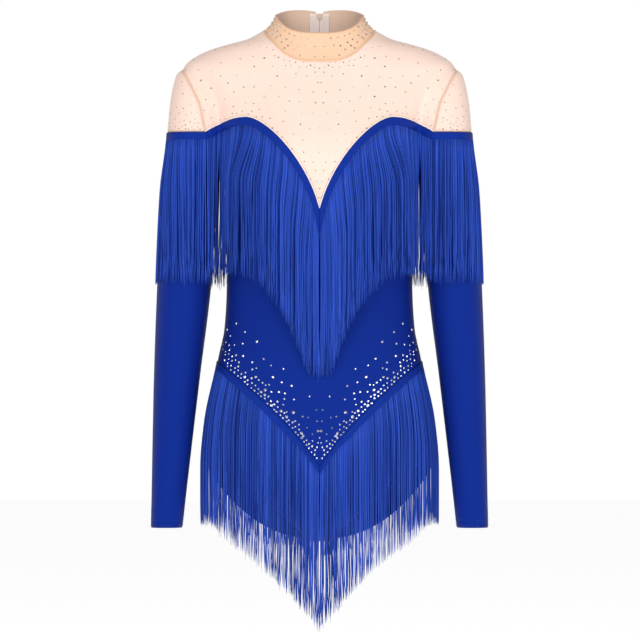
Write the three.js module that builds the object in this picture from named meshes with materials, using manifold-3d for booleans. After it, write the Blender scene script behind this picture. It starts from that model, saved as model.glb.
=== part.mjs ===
// Long-sleeved performance leotard with fringe, for an adult of small size.
// Millimetres, +Z up, front towards -Y, wearer's left towards +X.
// The origin is the middle of the neck, level with the high point of the shoulders.
// A "drop" is a distance straight down from the origin.
import * as THREE from 'three';
import { mergeVertices } from 'three/addons/utils/BufferGeometryUtils.js';
import Module from 'manifold-3d';

const wasm = await Module();
wasm.setup();

// ---- driving dimensions ----
const fabricThickness = 2;
const seamGap = 0.4;
const layerGap = 0.4;

const neckHalfWidth = 70;
const neckFront = 62;
const neckBack = 60;
const neckFrontDrop = 38;
const neckSideRise = 2.6;
const neckBackRise = 4;
const collarRimHalfWidth = 57;
const collarRimFront = 56;
const collarHeightFront = 37;
const collarHeightSide = 16.5;
const collarHeightBack = 24;
const collarPly = 1;

const shoulderHalfWidth = 177;
const shoulderDrop = 47;
const underarmHalfWidth = 125;
const underarmDrop = 160;
const chestHalfWidth = 121;
const chestDrop = 200;
const chestFront = 98;
const bustProjection = 16;
const bustHalfSpacing = 70;
const bustFullestDrop = 172;
const bustSpreadAcross = 42;
const bustSpreadDown = 50;
const waistHalfWidth = 119.5;
const waistDrop = 335;
const waistFront = 80;
const hipHalfWidth = 151;
const hipDrop = 560;
const hipFront = 92;
const seatBack = 112;
const crotchDrop = 655;
const crotchHalfWidth = 16;
const backLean = 0.08;

const elbowDrop = 321;
const sleeveEndDrop = 636;
const cuffOuter = 216.5;
const cuffWidth = 41;
const cuffHalfDepth = 25;
const upperArmHalfDepth = 49;
const forearmForward = 12;

const bustSideDrop = 130;
const bustSideHalfWidth = 144.5;
const bustPeakHalfSpacing = 97;
const bustPeakDrop = 112;
const bustPointDrop = 229;
const hipSideDrop = 414;
const hipPointDrop = 563;
const hipBackPointDrop = 470;
const legSideDrop = 530;

const tapeWidth = 10;
const tapeThickness = 1.2;
const bustStrand = 190;
const hipStrand = 200;
const fringeClear = 2.2;
const fringeThickness = 2.6;
const fringeEndGap = 0.8;
const fringeLap = 2;

const elasticWidth = 8;
const elasticThickness = 1.2;
const gussetTopDrop = 596;
const gussetThickness = 1;

const zipEndDrop = 300;
const zipSlotHalf = 5;
const zipTapeWidth = 12.5;
const zipTapeThickness = 0.8;
const zipTapeInset = 4.2;
const coilWidth = 2.3;
const coilHeight = 1.8;
const sliderLength = 12;
const sliderWall = 1.4;
const sliderClear = 0.4;
const pullLength = 26;
const pullHalfWidth = 2.8;
const pullThickness = 1.2;
const pinDiameter = 0.8;
const pinClear = 0.25;
const stopLength = 3.2;

const bodySegments = 28;
const sleeveSegments = 16;
const roundness = 2.3;
const reach = 400;

const colours = {
  blue: [0x16308f, 0.5],
  mesh: [0xfbe2cc, 0.75],
  collar: [0xf6cfa6, 0.7],
  lining: [0xdcbc9c, 0.8],
  fringe: [0x2741b0, 0.45],
  zipCloth: [0xead8ce, 0.8],
  coil: [0xe2cfc2, 0.4],
  metal: [0xc9c9cc, 0.3],
  elastic: [0x1a2c78, 0.8],
};

// ---- helpers ----

// Value at `at` on a smooth curve through [position, value] pairs that never overshoots them.
function follow(points, at) {
  const last = points.length - 1;
  if (at <= points[0][0]) return points[0][1];
  if (at >= points[last][0]) return points[last][1];
  const slope = (i) => (points[i + 1][1] - points[i][1]) / (points[i + 1][0] - points[i][0]);
  const tangent = (i) => {
    if (i === 0) return slope(0);
    if (i === last) return slope(last - 1);
    const before = slope(i - 1);
    const after = slope(i);
    return before * after <= 0 ? 0 : (2 * before * after) / (before + after);
  };
  let i = 0;
  while (at > points[i + 1][0]) i += 1;
  const span = points[i + 1][0] - points[i][0];
  const t = (at - points[i][0]) / span;
  const a = (1 + 2 * t) * (1 - t) ** 2;
  const b = t * (1 - t) ** 2;
  const c = t * t * (3 - 2 * t);
  const d = t * t * (t - 1);
  return a * points[i][1] + b * span * tangent(i) + c * points[i + 1][1] + d * span * tangent(i + 1);
}

// Signed power, for the rounded cross-sections.
function roundPower(value) {
  return Math.sign(value) * Math.abs(value) ** (2 / roundness);
}

function toSolid(geometry) {
  const bare = geometry.clone();
  bare.deleteAttribute('normal');
  bare.deleteAttribute('uv');
  const merged = mergeVertices(bare, 1e-4);
  const index = merged.index.array;
  return new wasm.Manifold(new wasm.Mesh({
    numProp: 3,
    vertProperties: Float32Array.from(merged.attributes.position.array),
    triVerts: Uint32Array.from(index),
  }));
}

function toGeometry(solid) {
  const mesh = solid.getMesh();
  const geometry = new THREE.BufferGeometry();
  geometry.setAttribute('position', new THREE.BufferAttribute(mesh.vertProperties, 3));
  geometry.setIndex(new THREE.BufferAttribute(mesh.triVerts, 1));
  return geometry;
}

// Closed solid from stacked rings of points, capped by one point above and one below.
function stackedSolid(top, rings, bottom, offset) {
  const points = [top, ...rings.flat(), bottom];
  const count = rings[0].length;
  const faces = [];
  for (let k = 0; k < count; k += 1) {
    const next = (k + 1) % count;
    faces.push(0, 1 + k, 1 + next);
    const base = 1 + (rings.length - 1) * count;
    faces.push(points.length - 1, base + next, base + k);
    for (let row = 0; row < rings.length - 1; row += 1) {
      const upper = 1 + row * count;
      const lower = upper + count;
      const [a, b, c, d] = [upper + k, lower + k, lower + next, upper + next];
      if (points[a].x + points[c].x > 0) faces.push(a, b, c, a, c, d);
      else faces.push(a, b, d, b, c, d);
    }
  }
  const geometry = new THREE.BufferGeometry().setFromPoints(points);
  geometry.setIndex(faces);
  geometry.computeVertexNormals();
  const position = geometry.attributes.position;
  const normal = geometry.attributes.normal;
  for (let i = 0; i < position.count; i += 1) {
    position.setXYZ(
      i,
      position.getX(i) + offset * normal.getX(i),
      position.getY(i) + offset * normal.getY(i),
      position.getZ(i) + offset * normal.getZ(i),
    );
  }
  return toSolid(geometry);
}

// Closed sheet between an outer and an inner grid of points, both [column][row].
// Seen from outside, columns run to the right and rows run down.
function sheetSolid(outer, inner) {
  const columns = outer.length;
  const rows = outer[0].length;
  const points = [...outer.flat(), ...inner.flat()];
  const sidePoints = columns * rows;
  const at = (c, r, side) => side * sidePoints + c * rows + r;
  const faces = [];
  const quad = (a, b, c, d) => faces.push(a, b, c, a, c, d);
  for (let c = 0; c < columns - 1; c += 1) {
    for (let r = 0; r < rows - 1; r += 1) {
      quad(at(c, r, 0), at(c, r + 1, 0), at(c + 1, r + 1, 0), at(c + 1, r, 0));
      quad(at(c, r, 1), at(c + 1, r, 1), at(c + 1, r + 1, 1), at(c, r + 1, 1));
    }
    quad(at(c, 0, 0), at(c + 1, 0, 0), at(c + 1, 0, 1), at(c, 0, 1));
    quad(at(c, rows - 1, 0), at(c, rows - 1, 1), at(c + 1, rows - 1, 1), at(c + 1, rows - 1, 0));
  }
  for (let r = 0; r < rows - 1; r += 1) {
    quad(at(0, r, 0), at(0, r, 1), at(0, r + 1, 1), at(0, r + 1, 0));
    const c = columns - 1;
    quad(at(c, r, 0), at(c, r + 1, 0), at(c, r + 1, 1), at(c, r, 1));
  }
  const geometry = new THREE.BufferGeometry().setFromPoints(points);
  geometry.setIndex(faces);
  return toSolid(geometry);
}

// Prism between two Y planes from an outline of [x, drop] points.
function prism(outline, fromY, toY) {
  const shape = new THREE.Shape(outline.map(([x, drop]) => new THREE.Vector2(x, -drop)));
  const geometry = new THREE.ExtrudeGeometry(shape, { depth: toY - fromY, bevelEnabled: false });
  geometry.rotateX(Math.PI / 2);
  geometry.translate(0, toY, 0);
  return toSolid(geometry);
}

function slab(lowX, highX, lowY, highY, lowZ, highZ) {
  const geometry = new THREE.BoxGeometry(highX - lowX, highY - lowY, highZ - lowZ);
  geometry.translate((lowX + highX) / 2, (lowY + highY) / 2, (lowZ + highZ) / 2);
  return toSolid(geometry);
}

const mirrored = (points) => points.map(([x, drop]) => [-x, drop]);
const evenSteps = (from, to, count) => Array.from(
  { length: count + 1 },
  (_, i) => from + ((to - from) * i) / count,
);
const bezier = (a, b, c, d, count) => new THREE.CubicBezierCurve(
  new THREE.Vector2(...a),
  new THREE.Vector2(...b),
  new THREE.Vector2(...c),
  new THREE.Vector2(...d),
).getPoints(count).map((point) => [point.x, point.y]);

// ---- body form ----
const backLine = (drop) => neckBack + backLean * drop;
const bodyWidth = [
  [-12, 40], [-2.6, neckHalfWidth], [10, 93], [19, 128], [28, 152], [shoulderDrop, shoulderHalfWidth - 2],
  [60, 165], [76, 154], [95, 143], [bustSideDrop, 131], [underarmDrop, underarmHalfWidth - 1],
  [chestDrop, chestHalfWidth], [waistDrop - 40, waistHalfWidth - 0.5], [waistDrop, waistHalfWidth],
  [waistDrop + 48, waistHalfWidth + 3], [waistDrop + 80, waistHalfWidth + 10],
  [hipDrop - 115, hipHalfWidth - 16], [hipDrop - 60, hipHalfWidth - 5], [hipDrop, hipHalfWidth],
  [crotchDrop - 60, hipHalfWidth - 1], [crotchDrop - 35, hipHalfWidth - 14], [crotchDrop - 13, 100],
  [crotchDrop - 3, 50],
];
const bodyFront = [
  [-12, 32], [-2.6, 42], [10, 50], [28, 58], [neckFrontDrop, neckFront], [60, 70], [100, 84],
  [165, chestFront], [235, chestFront - 7], [waistDrop, waistFront], [waistDrop + 85, waistFront + 7],
  [hipDrop - 40, hipFront], [hipDrop, hipFront - 3], [crotchDrop - 40, 70], [crotchDrop - 15, 45],
  [crotchDrop - 3, 20],
];
const bodyBack = [
  [-12, backLine(-12)], [0, backLine(0)], [zipEndDrop / 2, backLine(zipEndDrop / 2)],
  [zipEndDrop + 10, backLine(zipEndDrop + 10)], [waistDrop + 10, backLine(waistDrop)],
  [waistDrop + 75, seatBack - 16], [hipDrop - 70, seatBack - 2], [hipDrop - 30, seatBack],
  [crotchDrop - 55, seatBack - 14], [crotchDrop - 20, 62], [crotchDrop - 3, 24],
];

// How far the bust stands out from the plain front, fullest at one point of each side.
function bustSwell(x, drop) {
  const across = (Math.abs(x) - bustHalfSpacing) / bustSpreadAcross;
  const down = (drop - bustFullestDrop) / bustSpreadDown;
  return bustProjection * Math.exp(-(across ** 2) - down ** 2);
}

function bodyPoint(drop, angle, wide = follow(bodyWidth, drop)) {
  const across = roundPower(Math.cos(angle));
  const along = roundPower(Math.sin(angle));
  const x = wide * across;
  const depth = along < 0 ? follow(bodyFront, drop) + bustSwell(x, drop) : follow(bodyBack, drop);
  return new THREE.Vector3(x, depth * along, -drop);
}

const bodyRowDrops = [
  -8, -2.6, 6, 14, 26, neckFrontDrop, shoulderDrop, 60, 78, 100, bustSideDrop, 152, 175, chestDrop, 235, 280,
  waistDrop, 375, 410, 445, hipDrop - 70, hipDrop - 30, hipDrop, crotchDrop - 57, crotchDrop - 33,
  crotchDrop - 15, crotchDrop - 5,
];

function ring(count, place) {
  return Array.from({ length: count }, (_, k) => place((2 * Math.PI * k) / count));
}

function bodySolid(offset) {
  const rings = bodyRowDrops.map((drop) => ring(bodySegments, (angle) => bodyPoint(drop, angle)));
  const top = new THREE.Vector3(0, 0, 12);
  const bottom = new THREE.Vector3(0, 0, -crotchDrop);
  return stackedSolid(top, rings, bottom, offset);
}

// ---- sleeve form, for the wearer's left ----
const cuffInner = cuffOuter - cuffWidth;
const sleeveFormEnd = sleeveEndDrop + 20;
const sleeveOuter = [
  [50, 182], [60, 185.5], [76, 189.5], [100, 193], [bustSideDrop, 195.5], [underarmDrop, 197.5],
  [chestDrop, 202.5], [elbowDrop, cuffOuter - 8], [445, cuffOuter - 3.7], [sleeveEndDrop, cuffOuter],
];
const sleeveInner = [
  [50, 146], [60, 132], [76, 123], [100, 118], [bustSideDrop, 119], [underarmDrop, underarmHalfWidth - 2],
  [chestDrop, 130], [elbowDrop, 138.5], [445, 153.5], [sleeveEndDrop, cuffInner],
];
const sleeveDepth = [
  [50, 28], [60, 37], [76, 43], [100, 47], [bustSideDrop, upperArmHalfDepth],
  [underarmDrop, upperArmHalfDepth], [chestDrop, upperArmHalfDepth - 1],
  [elbowDrop, upperArmHalfDepth - 4.5], [sleeveEndDrop, cuffHalfDepth],
];
const sleeveForward = [[elbowDrop, 0], [sleeveEndDrop, forearmForward]];
const sleeveRowDrops = [
  52, 60, 78, 100, bustSideDrop, 155, 178, chestDrop, 260, elbowDrop, 480, sleeveFormEnd,
];

function sleevePoint(drop, angle) {
  const outer = follow(sleeveOuter, drop);
  const inner = follow(sleeveInner, drop);
  const x = (outer + inner) / 2 + ((outer - inner) / 2) * roundPower(Math.cos(angle));
  const y = follow(sleeveDepth, drop) * roundPower(Math.sin(angle)) - follow(sleeveForward, drop);
  return new THREE.Vector3(x, y, -drop);
}

function sleeveSolid(offset) {
  const rings = sleeveRowDrops.map((drop) => ring(sleeveSegments, (angle) => sleevePoint(drop, angle)));
  const top = new THREE.Vector3(163, 0, -50.5);
  const endX = rings.at(-1)[0].x - cuffWidth / 2;
  const bottom = new THREE.Vector3(endX, -forearmForward, -sleeveFormEnd - 1);
  return stackedSolid(top, rings, bottom, offset);
}

function garmentSolid(offset) {
  const sleeve = sleeveSolid(offset);
  return bodySolid(offset).add(sleeve).add(sleeve.mirror([1, 0, 0]));
}

// ---- regions, seen from the front ----
const aboveAll = -reach / 4;
const belowAll = crotchDrop + reach;
const armholeLine = [
  [shoulderHalfWidth + 8, shoulderDrop - 30], [shoulderHalfWidth, shoulderDrop], [166, 68], [153.5, 94],
  [bustSideHalfWidth, bustSideDrop], [underarmHalfWidth, underarmDrop - 2],
  [underarmHalfWidth - 1, underarmDrop + 16], [underarmHalfWidth + 1, chestDrop + 5],
  [underarmHalfWidth + 4, elbowDrop], [148, 430], [158, 520],
  [hipHalfWidth + 10, hipDrop + 30], [hipHalfWidth + 10, belowAll],
];
const shifted = (line, by) => line.map(([x, drop]) => [x + by, drop]);
const insideArmhole = shifted(armholeLine, -seamGap / 2);
const torsoOutline = [
  ...insideArmhole,
  ...mirrored(insideArmhole).reverse(),
  [-shoulderHalfWidth - 8, aboveAll],
  [shoulderHalfWidth + 8, aboveAll],
];
const sleeveOutline = [...shifted(armholeLine, seamGap / 2), [reach, belowAll], [reach, aboveAll]];

const bustLine = [
  ...bezier(
    [150, bustSideDrop + 2],
    [128, bustSideDrop - 12],
    [112, bustPeakDrop],
    [bustPeakHalfSpacing, bustPeakDrop],
    5,
  ),
  ...bezier(
    [bustPeakHalfSpacing, bustPeakDrop],
    [bustPeakHalfSpacing - 27, bustPeakDrop - 4],
    [14, bustPointDrop - 59],
    [0, bustPointDrop],
    10,
  ).slice(1),
];
const hipFrontLine = bezier(
  [160, hipSideDrop - 15],
  [75, hipSideDrop + 40],
  [32, hipPointDrop - 62],
  [0, hipPointDrop],
  10,
);
const hipBackLine = bezier(
  [160, hipSideDrop - 6],
  [110, hipSideDrop + 20],
  [50, hipBackPointDrop - 8],
  [0, hipBackPointDrop],
  8,
);
const backChestLine = [[150, bustSideDrop], [75, bustSideDrop], [0, bustSideDrop]];
const legFront = bezier(
  [hipHalfWidth + 8, legSideDrop],
  [100, legSideDrop + 45],
  [40, crotchDrop - 35],
  [crotchHalfWidth, crotchDrop - 3],
  10,
);
const legBack = bezier(
  [hipHalfWidth + 8, legSideDrop],
  [128, crotchDrop - 45],
  [70, crotchDrop - 6],
  [crotchHalfWidth, crotchDrop - 3],
  10,
);

// Drop of a line at a distance from the middle, between its points.
function dropAt(line, x) {
  for (let i = 1; i < line.length; i += 1) {
    const [ax, ad] = line[i - 1];
    const [bx, bd] = line[i];
    if (x <= ax && x >= bx) return ad + ((bd - ad) * (ax - x)) / (ax - bx);
  }
  return x > line[0][0] ? line[0][1] : line.at(-1)[1];
}

// Drop of the lower edge of a tape laid under the line.
function tapeEdge(line, x) {
  const slope = (dropAt(line, x + 2) - dropAt(line, Math.max(x - 2, 0))) / (x + 2 - Math.max(x - 2, 0));
  return dropAt(line, x) + tapeWidth * Math.hypot(1, slope);
}

// Outline of everything under a line across the garment, or over it.
function acrossOutline(line, side, limit) {
  const moved = line.map(([x, drop]) => [x, drop + (side * seamGap) / 2]);
  const far = line[0][0] + reach;
  return [
    [far, moved[0][1]],
    ...moved,
    ...mirrored(moved).reverse().slice(1),
    [-far, moved[0][1]],
    [-far, limit],
    [far, limit],
  ];
}

// Band of tape under a line, on the wearer's left, running past the middle.
function tapeOutline(line) {
  const columns = [...evenSteps(140, 30, 11), 22, 15, 10, 5, 0];
  const far = line[0][0] + reach;
  const upper = [[far, line[0][1]], ...columns.map((x) => [x, dropAt(line, x)])];
  const lower = [[far, line[0][1] + tapeWidth], ...columns.map((x) => [x, tapeEdge(line, x)])];
  return [...upper, ...lower.reverse()];
}

function legOutline(line, rise, halfWidth) {
  const raised = line.map(([x, drop]) => [Math.max(x, halfWidth), drop - rise]);
  const edge = [[reach, raised[0][1]], ...raised, [halfWidth, belowAll]];
  return [...edge, ...mirrored(edge).reverse(), [-reach, aboveAll], [reach, aboveAll]];
}

// ---- cloth panels ----
const outerForm = garmentSolid(0);
const innerForm = garmentSolid(-fabricThickness);
const neckShape = new THREE.Shape(ring(48, (angle) => {
  const depth = Math.sin(angle) < 0 ? neckFront : neckBack;
  const x = neckHalfWidth * roundPower(Math.cos(angle));
  return new THREE.Vector2(x, depth * roundPower(Math.sin(angle)));
}));
const neckHole = toSolid(
  new THREE.ExtrudeGeometry(neckShape, { depth: reach, bevelEnabled: false })
    .translate(0, 0, -neckFrontDrop * 2),
);
const fabric = outerForm.subtract(innerForm).subtract(neckHole);
const halfGap = seamGap / 2;
const torsoPrism = prism(torsoOutline, -reach, reach);
const leftSleevePrism = prism(sleeveOutline, -reach, reach);
const frontSide = slab(-reach, reach, -reach, -halfGap, -belowAll, reach);
const backSide = slab(-reach, reach, halfGap, reach, -belowAll, reach);
const leftOfMiddle = slab(halfGap, reach, -reach, reach, -belowAll, reach);
const zipSlotEnd = -zipEndDrop - stopLength - 2;
const zipSlot = slab(-zipSlotHalf, zipSlotHalf, 0, reach, zipSlotEnd, reach);

const torsoCloth = fabric.intersect(torsoPrism);
const frontCloth = torsoCloth.intersect(frontSide);
const backCloth = torsoCloth.intersect(backSide).subtract(zipSlot).intersect(leftOfMiddle);
const sleeveCloth = fabric.intersect(leftSleevePrism);

const parts = new THREE.Group();

function addPart(name, solid, look) {
  const [color, roughness] = colours[look];
  const metalness = look === 'metal' ? 1 : 0;
  const material = new THREE.MeshStandardMaterial({ color, roughness, metalness });
  const mesh = new THREE.Mesh(toGeometry(solid), material);
  mesh.name = name;
  parts.add(mesh);
}

// Adds a piece of the wearer's left and its mirror image.
function addPair(name, solid, look) {
  addPart(`${name}_left`, solid, look);
  addPart(`${name}_right`, solid.mirror([1, 0, 0]), look);
}

const overBust = prism(acrossOutline(bustLine, -1, aboveAll), -reach, reach);
const underBust = prism(acrossOutline(bustLine, 1, belowAll), -reach, reach);
const overBack = prism(acrossOutline(backChestLine, -1, aboveAll), -reach, reach);
const underBack = prism(acrossOutline(backChestLine, 1, belowAll), -reach, reach);
addPart('yoke_front', frontCloth.intersect(overBust), 'mesh');
addPair('yoke_back', backCloth.intersect(overBack), 'mesh');
const frontBrief = prism(legOutline(legFront, 0, crotchHalfWidth), -reach, reach);
const backBrief = prism(legOutline(legBack, 0, crotchHalfWidth), -reach, reach);
addPart('front_body', frontCloth.intersect(underBust).intersect(frontBrief), 'blue');
addPair('back_body', backCloth.intersect(underBack).intersect(backBrief), 'blue');

const overSleeveTape = slab(0, reach, -reach, reach, -bustSideDrop + halfGap, reach);
const underSleeveTape = slab(0, reach, -reach, reach, -sleeveEndDrop, -bustSideDrop - halfGap);
addPair('sleeve_cap', sleeveCloth.intersect(overSleeveTape), 'mesh');
addPair('sleeve', sleeveCloth.intersect(underSleeveTape), 'blue');

// ---- header tapes of the fringe, laid on the cloth ----
const tapeFace = garmentSolid(layerGap + tapeThickness);
const tapeLayer = tapeFace.subtract(garmentSolid(layerGap)).intersect(leftOfMiddle);
const torsoTape = tapeLayer.intersect(torsoPrism);
const pastZip = slab(zipSlotHalf + 1, reach, 0, reach, -belowAll, reach);
const tapeBand = (line) => prism(tapeOutline(line), -reach, reach);
const onFront = torsoTape.intersect(frontSide);
const onBack = torsoTape.intersect(backSide);
addPair('bust_tape', onFront.intersect(tapeBand(bustLine)), 'fringe');
addPair('back_tape', onBack.intersect(pastZip).intersect(tapeBand(backChestLine)), 'fringe');
addPair('hip_tape_front', onFront.intersect(tapeBand(hipFrontLine)), 'fringe');
addPair('hip_tape_back', onBack.intersect(tapeBand(hipBackLine)), 'fringe');
const sleeveTapeSlab = slab(0, reach, -reach, reach, -bustSideDrop - tapeWidth, -bustSideDrop);
addPair('sleeve_tape', tapeLayer.intersect(leftSleevePrism).intersect(sleeveTapeSlab), 'fringe');

// ---- fringe, hanging from the tapes ----
function formDepth(x, drop, side) {
  const wide = follow(bodyWidth, drop);
  const share = Math.min(Math.abs(x) / wide, 1);
  const full = side < 0 ? follow(bodyFront, drop) + bustSwell(x, drop) : follow(bodyBack, drop);
  const body = full * (1 - share ** roundness) ** (1 / roundness);
  const outer = follow(sleeveOuter, drop);
  const inner = follow(sleeveInner, drop);
  const arm = Math.min(Math.abs(2 * x - outer - inner) / (outer - inner), 1);
  return Math.max(body, follow(sleeveDepth, drop) * (1 - arm ** roundness) ** (1 / roundness));
}

// Fringe that falls straight down from a line across the chest or the back.
function fallingFringe(line, innerX, outerX, side) {
  const columns = evenSteps(innerX, outerX, 10);
  if (side > 0) columns.reverse();
  const place = (extra) => columns.map((x) => {
    const start = tapeEdge(line, x) + fringeEndGap;
    let depth = 0;
    for (let drop = start - tapeWidth; drop < start; drop += 3) {
      depth = Math.max(depth, formDepth(x, drop, side));
    }
    return evenSteps(start, start + bustStrand, 5).map((drop) => {
      for (let back = 0; back < bustStrand / 5; back += 4) {
        if (drop - back >= start) depth = Math.max(depth, formDepth(x, drop - back, side));
      }
      return new THREE.Vector3(x, side * (depth + fringeClear + extra), -drop);
    });
  });
  return sheetSolid(place(fringeThickness), place(0));
}

// Fringe that spreads with the hips and then falls straight.
function hipFringe(line, side) {
  const angles = evenSteps(0.015, Math.PI / 2 - 0.006, 10).map((angle) => side * angle);
  if (side < 0) angles.reverse();
  const place = (extra) => angles.map((angle) => {
    let low = hipSideDrop - 20;
    let high = crotchDrop;
    for (let i = 0; i < 30; i += 1) {
      const middle = (low + high) / 2;
      if (tapeEdge(line, bodyPoint(middle, angle).x) - fringeLap > middle) low = middle;
      else high = middle;
    }
    let wide = 0;
    let depth = 0;
    const across = roundPower(Math.cos(angle));
    const along = Math.abs(roundPower(Math.sin(angle)));
    const start = low;
    return evenSteps(start, start + hipStrand, 5).map((drop) => {
      wide = Math.max(wide, follow(bodyWidth, drop));
      depth = Math.max(depth, follow(side < 0 ? bodyFront : bodyBack, drop));
      const grow = fringeClear + extra;
      const x = (wide + grow) * across + halfGap;
      return new THREE.Vector3(x, side * ((depth + grow) * along + halfGap), -drop);
    });
  });
  return sheetSolid(place(fringeThickness), place(0));
}

// Fringe round the outside of the sleeve, from the front of the armhole to the back of it.
function sleeveFringe() {
  const start = bustSideDrop + tapeWidth + fringeEndGap;
  const outerStart = follow(sleeveOuter, start);
  const innerStart = follow(sleeveInner, start);
  const middle = (outerStart + innerStart) / 2;
  const widest = (outerStart - innerStart) / 2 + fringeClear + fringeThickness;
  const inward = (middle - bustSideHalfWidth - 2 * fringeEndGap) / widest;
  const last = Math.PI - Math.acos(inward ** (roundness / 2));
  const angles = evenSteps(-last, last, 12);
  const drops = evenSteps(start, start + bustStrand - 5, 4);
  const place = (extra) => angles.map((angle) => drops.map((drop) => {
    const grow = fringeClear + extra;
    const spread = Math.min(1, 1.6 * Math.max(0, Math.cos(angle)));
    const drift = (follow(sleeveOuter, drop) - outerStart) * spread;
    const x = middle + ((outerStart - innerStart) / 2 + grow) * roundPower(Math.cos(angle)) + drift;
    const y = (follow(sleeveDepth, start) + grow) * roundPower(Math.sin(angle));
    return new THREE.Vector3(x, y, -drop);
  }));
  return sheetSolid(place(fringeThickness), place(0));
}

const fringeSide = bustSideHalfWidth - fringeEndGap;
addPair('bust_fringe', fallingFringe(bustLine, fringeEndGap, fringeSide, -1), 'fringe');
addPair('back_fringe', fallingFringe(backChestLine, zipSlotHalf + 2, fringeSide, 1), 'fringe');
addPair('hip_fringe_front', hipFringe(hipFrontLine, -1), 'fringe');
addPair('hip_fringe_back', hipFringe(hipBackLine, 1), 'fringe');
addPair('sleeve_fringe', sleeveFringe(), 'fringe');

// ---- leg elastics and gusset, inside the brief ----
const elasticOuter = -fabricThickness - layerGap;
const elasticLayer = bodySolid(elasticOuter).subtract(bodySolid(elasticOuter - elasticThickness));

function legBand(line, fromY, toY) {
  const outside = legOutline(line, 0.5, crotchHalfWidth - 0.5);
  const inside = legOutline(line, elasticWidth, crotchHalfWidth - elasticWidth);
  return prism(outside, fromY, toY).subtract(prism(inside, fromY - 1, toY + 1));
}
const legBands = legBand(legFront, -reach, 0.3).add(legBand(legBack, -0.3, reach));
addPair('leg_elastic', elasticLayer.intersect(legBands).intersect(leftOfMiddle), 'elastic');

const gussetOuter = elasticOuter - elasticThickness - layerGap;
const gussetLayer = bodySolid(gussetOuter).subtract(bodySolid(gussetOuter - gussetThickness));
const gussetArea = prism(legOutline(legFront, 4, crotchHalfWidth - 3), -reach, reach);
const gussetEnd = slab(-reach, reach, -reach, reach, -belowAll, -gussetTopDrop);
addPart('crotch_gusset', gussetLayer.intersect(gussetArea).intersect(gussetEnd), 'lining');

// ---- collar, two plies, open at the back for the zip ----
function collarSurface(outset, drop) {
  const opening = (zipSlotHalf / collarRimHalfWidth) ** (roundness / 2);
  const angles = evenSteps(Math.PI / 2 + opening, Math.PI / 2 - opening + 2 * Math.PI, 26);
  const baseTilt = (neckBackRise + neckFrontDrop) / 2;
  const baseDip = neckSideRise + baseTilt - neckBackRise;
  return angles.map((angle) => {
    const across = roundPower(Math.cos(angle));
    const along = roundPower(Math.sin(angle));
    const baseDepth = along < 0 ? neckFront : neckBack;
    const rimDepth = along < 0 ? collarRimFront : backLine(-neckBackRise - collarHeightBack);
    const baseZ = neckSideRise + baseTilt * along - baseDip * along * along;
    const height = along < 0 ? collarHeightFront : collarHeightBack;
    const rise = collarHeightSide + (height - collarHeightSide) * along * along;
    return evenSteps(0, 1, 2).map((share) => {
      const wide = neckHalfWidth + (collarRimHalfWidth - neckHalfWidth) * share - outset;
      const depth = baseDepth + (rimDepth - baseDepth) * share - outset;
      return new THREE.Vector3(wide * across, depth * along, baseZ + rise * share - drop);
    }).reverse();
  });
}
const collarOuterFace = seamGap + 0.2;
const liningFace = collarOuterFace + collarPly + 0.3;

function collarSheet(face, drop) {
  return sheetSolid(collarSurface(face, drop), collarSurface(face + collarPly, drop));
}
addPart('collar_outer', collarSheet(collarOuterFace, 0), 'collar');
addPart('collar_lining', collarSheet(liningFace, 0.5), 'lining');

// ---- zip, drawn upright and then leaned to lie along the back ----
const zipLean = Math.atan(backLean);
const zipTop = 26;
const coilTop = 19.6;
const coilFromTape = 0.3;
const stopGap = 0.4;
const sliderTop = coilTop - stopGap;
const coilInnerFace = -zipTapeInset + coilFromTape;
const coilOuterFace = coilInnerFace + coilHeight;
const zipTapeEnd = -zipEndDrop - stopLength - 1;

function leaned(solid) {
  return solid.rotate([(zipLean * 180) / Math.PI, 0, 0]).translate([0, neckBack, 0]);
}
const zipTape = slab(
  halfGap,
  zipTapeWidth,
  -zipTapeInset - zipTapeThickness,
  -zipTapeInset,
  zipTapeEnd,
  zipTop,
);
addPair('zip_tape', leaned(zipTape), 'zipCloth');

// A bar in the layer of the coils.
function coilBar(lowX, highX, lowZ, highZ) {
  return slab(lowX, highX, coilInnerFace, coilOuterFace, lowZ, highZ);
}
const topStopLow = coilTop + stopGap;
const bottomStopTop = -zipEndDrop - stopGap;
const stopOver = 0.3;
addPair('zip_coil', leaned(coilBar(0.15, coilWidth, -zipEndDrop, coilTop)), 'coil');
const topStop = coilBar(0.3, coilWidth + stopOver, topStopLow, topStopLow + stopLength);
addPair('zip_top_stop', leaned(topStop), 'metal');
const bottomStop = coilBar(
  -coilWidth - stopOver,
  coilWidth + stopOver,
  bottomStopTop - stopLength,
  bottomStopTop,
);
addPart('zip_bottom_stop', leaned(bottomStop), 'metal');

const channelHalf = coilWidth + sliderClear;
const sliderHalf = channelHalf + sliderWall;
const wingBottom = coilOuterFace + coilFromTape;
const wingTop = wingBottom + sliderWall;
const sliderLow = sliderTop - sliderLength;
const pinHeight = wingTop + 1.3;
const pinZ = sliderTop - sliderLength / 2;
const lugInner = 1.3;
const lugOuter = 2.3;

function cylinderAcross(radius, length, y, z) {
  const geometry = new THREE.CylinderGeometry(radius, radius, length, 12);
  geometry.rotateZ(Math.PI / 2);
  geometry.translate(0, y, z);
  return toSolid(geometry);
}
const channel = slab(-channelHalf, channelHalf, -reach, wingBottom, -reach, reach);
const sliderBody = slab(-sliderHalf, sliderHalf, coilInnerFace, wingTop, sliderLow, sliderTop)
  .subtract(channel);
const lugs = slab(-lugOuter, lugOuter, wingTop - 0.2, pinHeight + 1.1, pinZ - 2, pinZ + 2)
  .subtract(slab(-lugInner, lugInner, wingTop, reach, -reach, reach))
  .subtract(cylinderAcross(pinDiameter / 2 + pinClear, 20, pinHeight, pinZ));
addPart('zip_slider', leaned(sliderBody.add(lugs)), 'metal');

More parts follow.
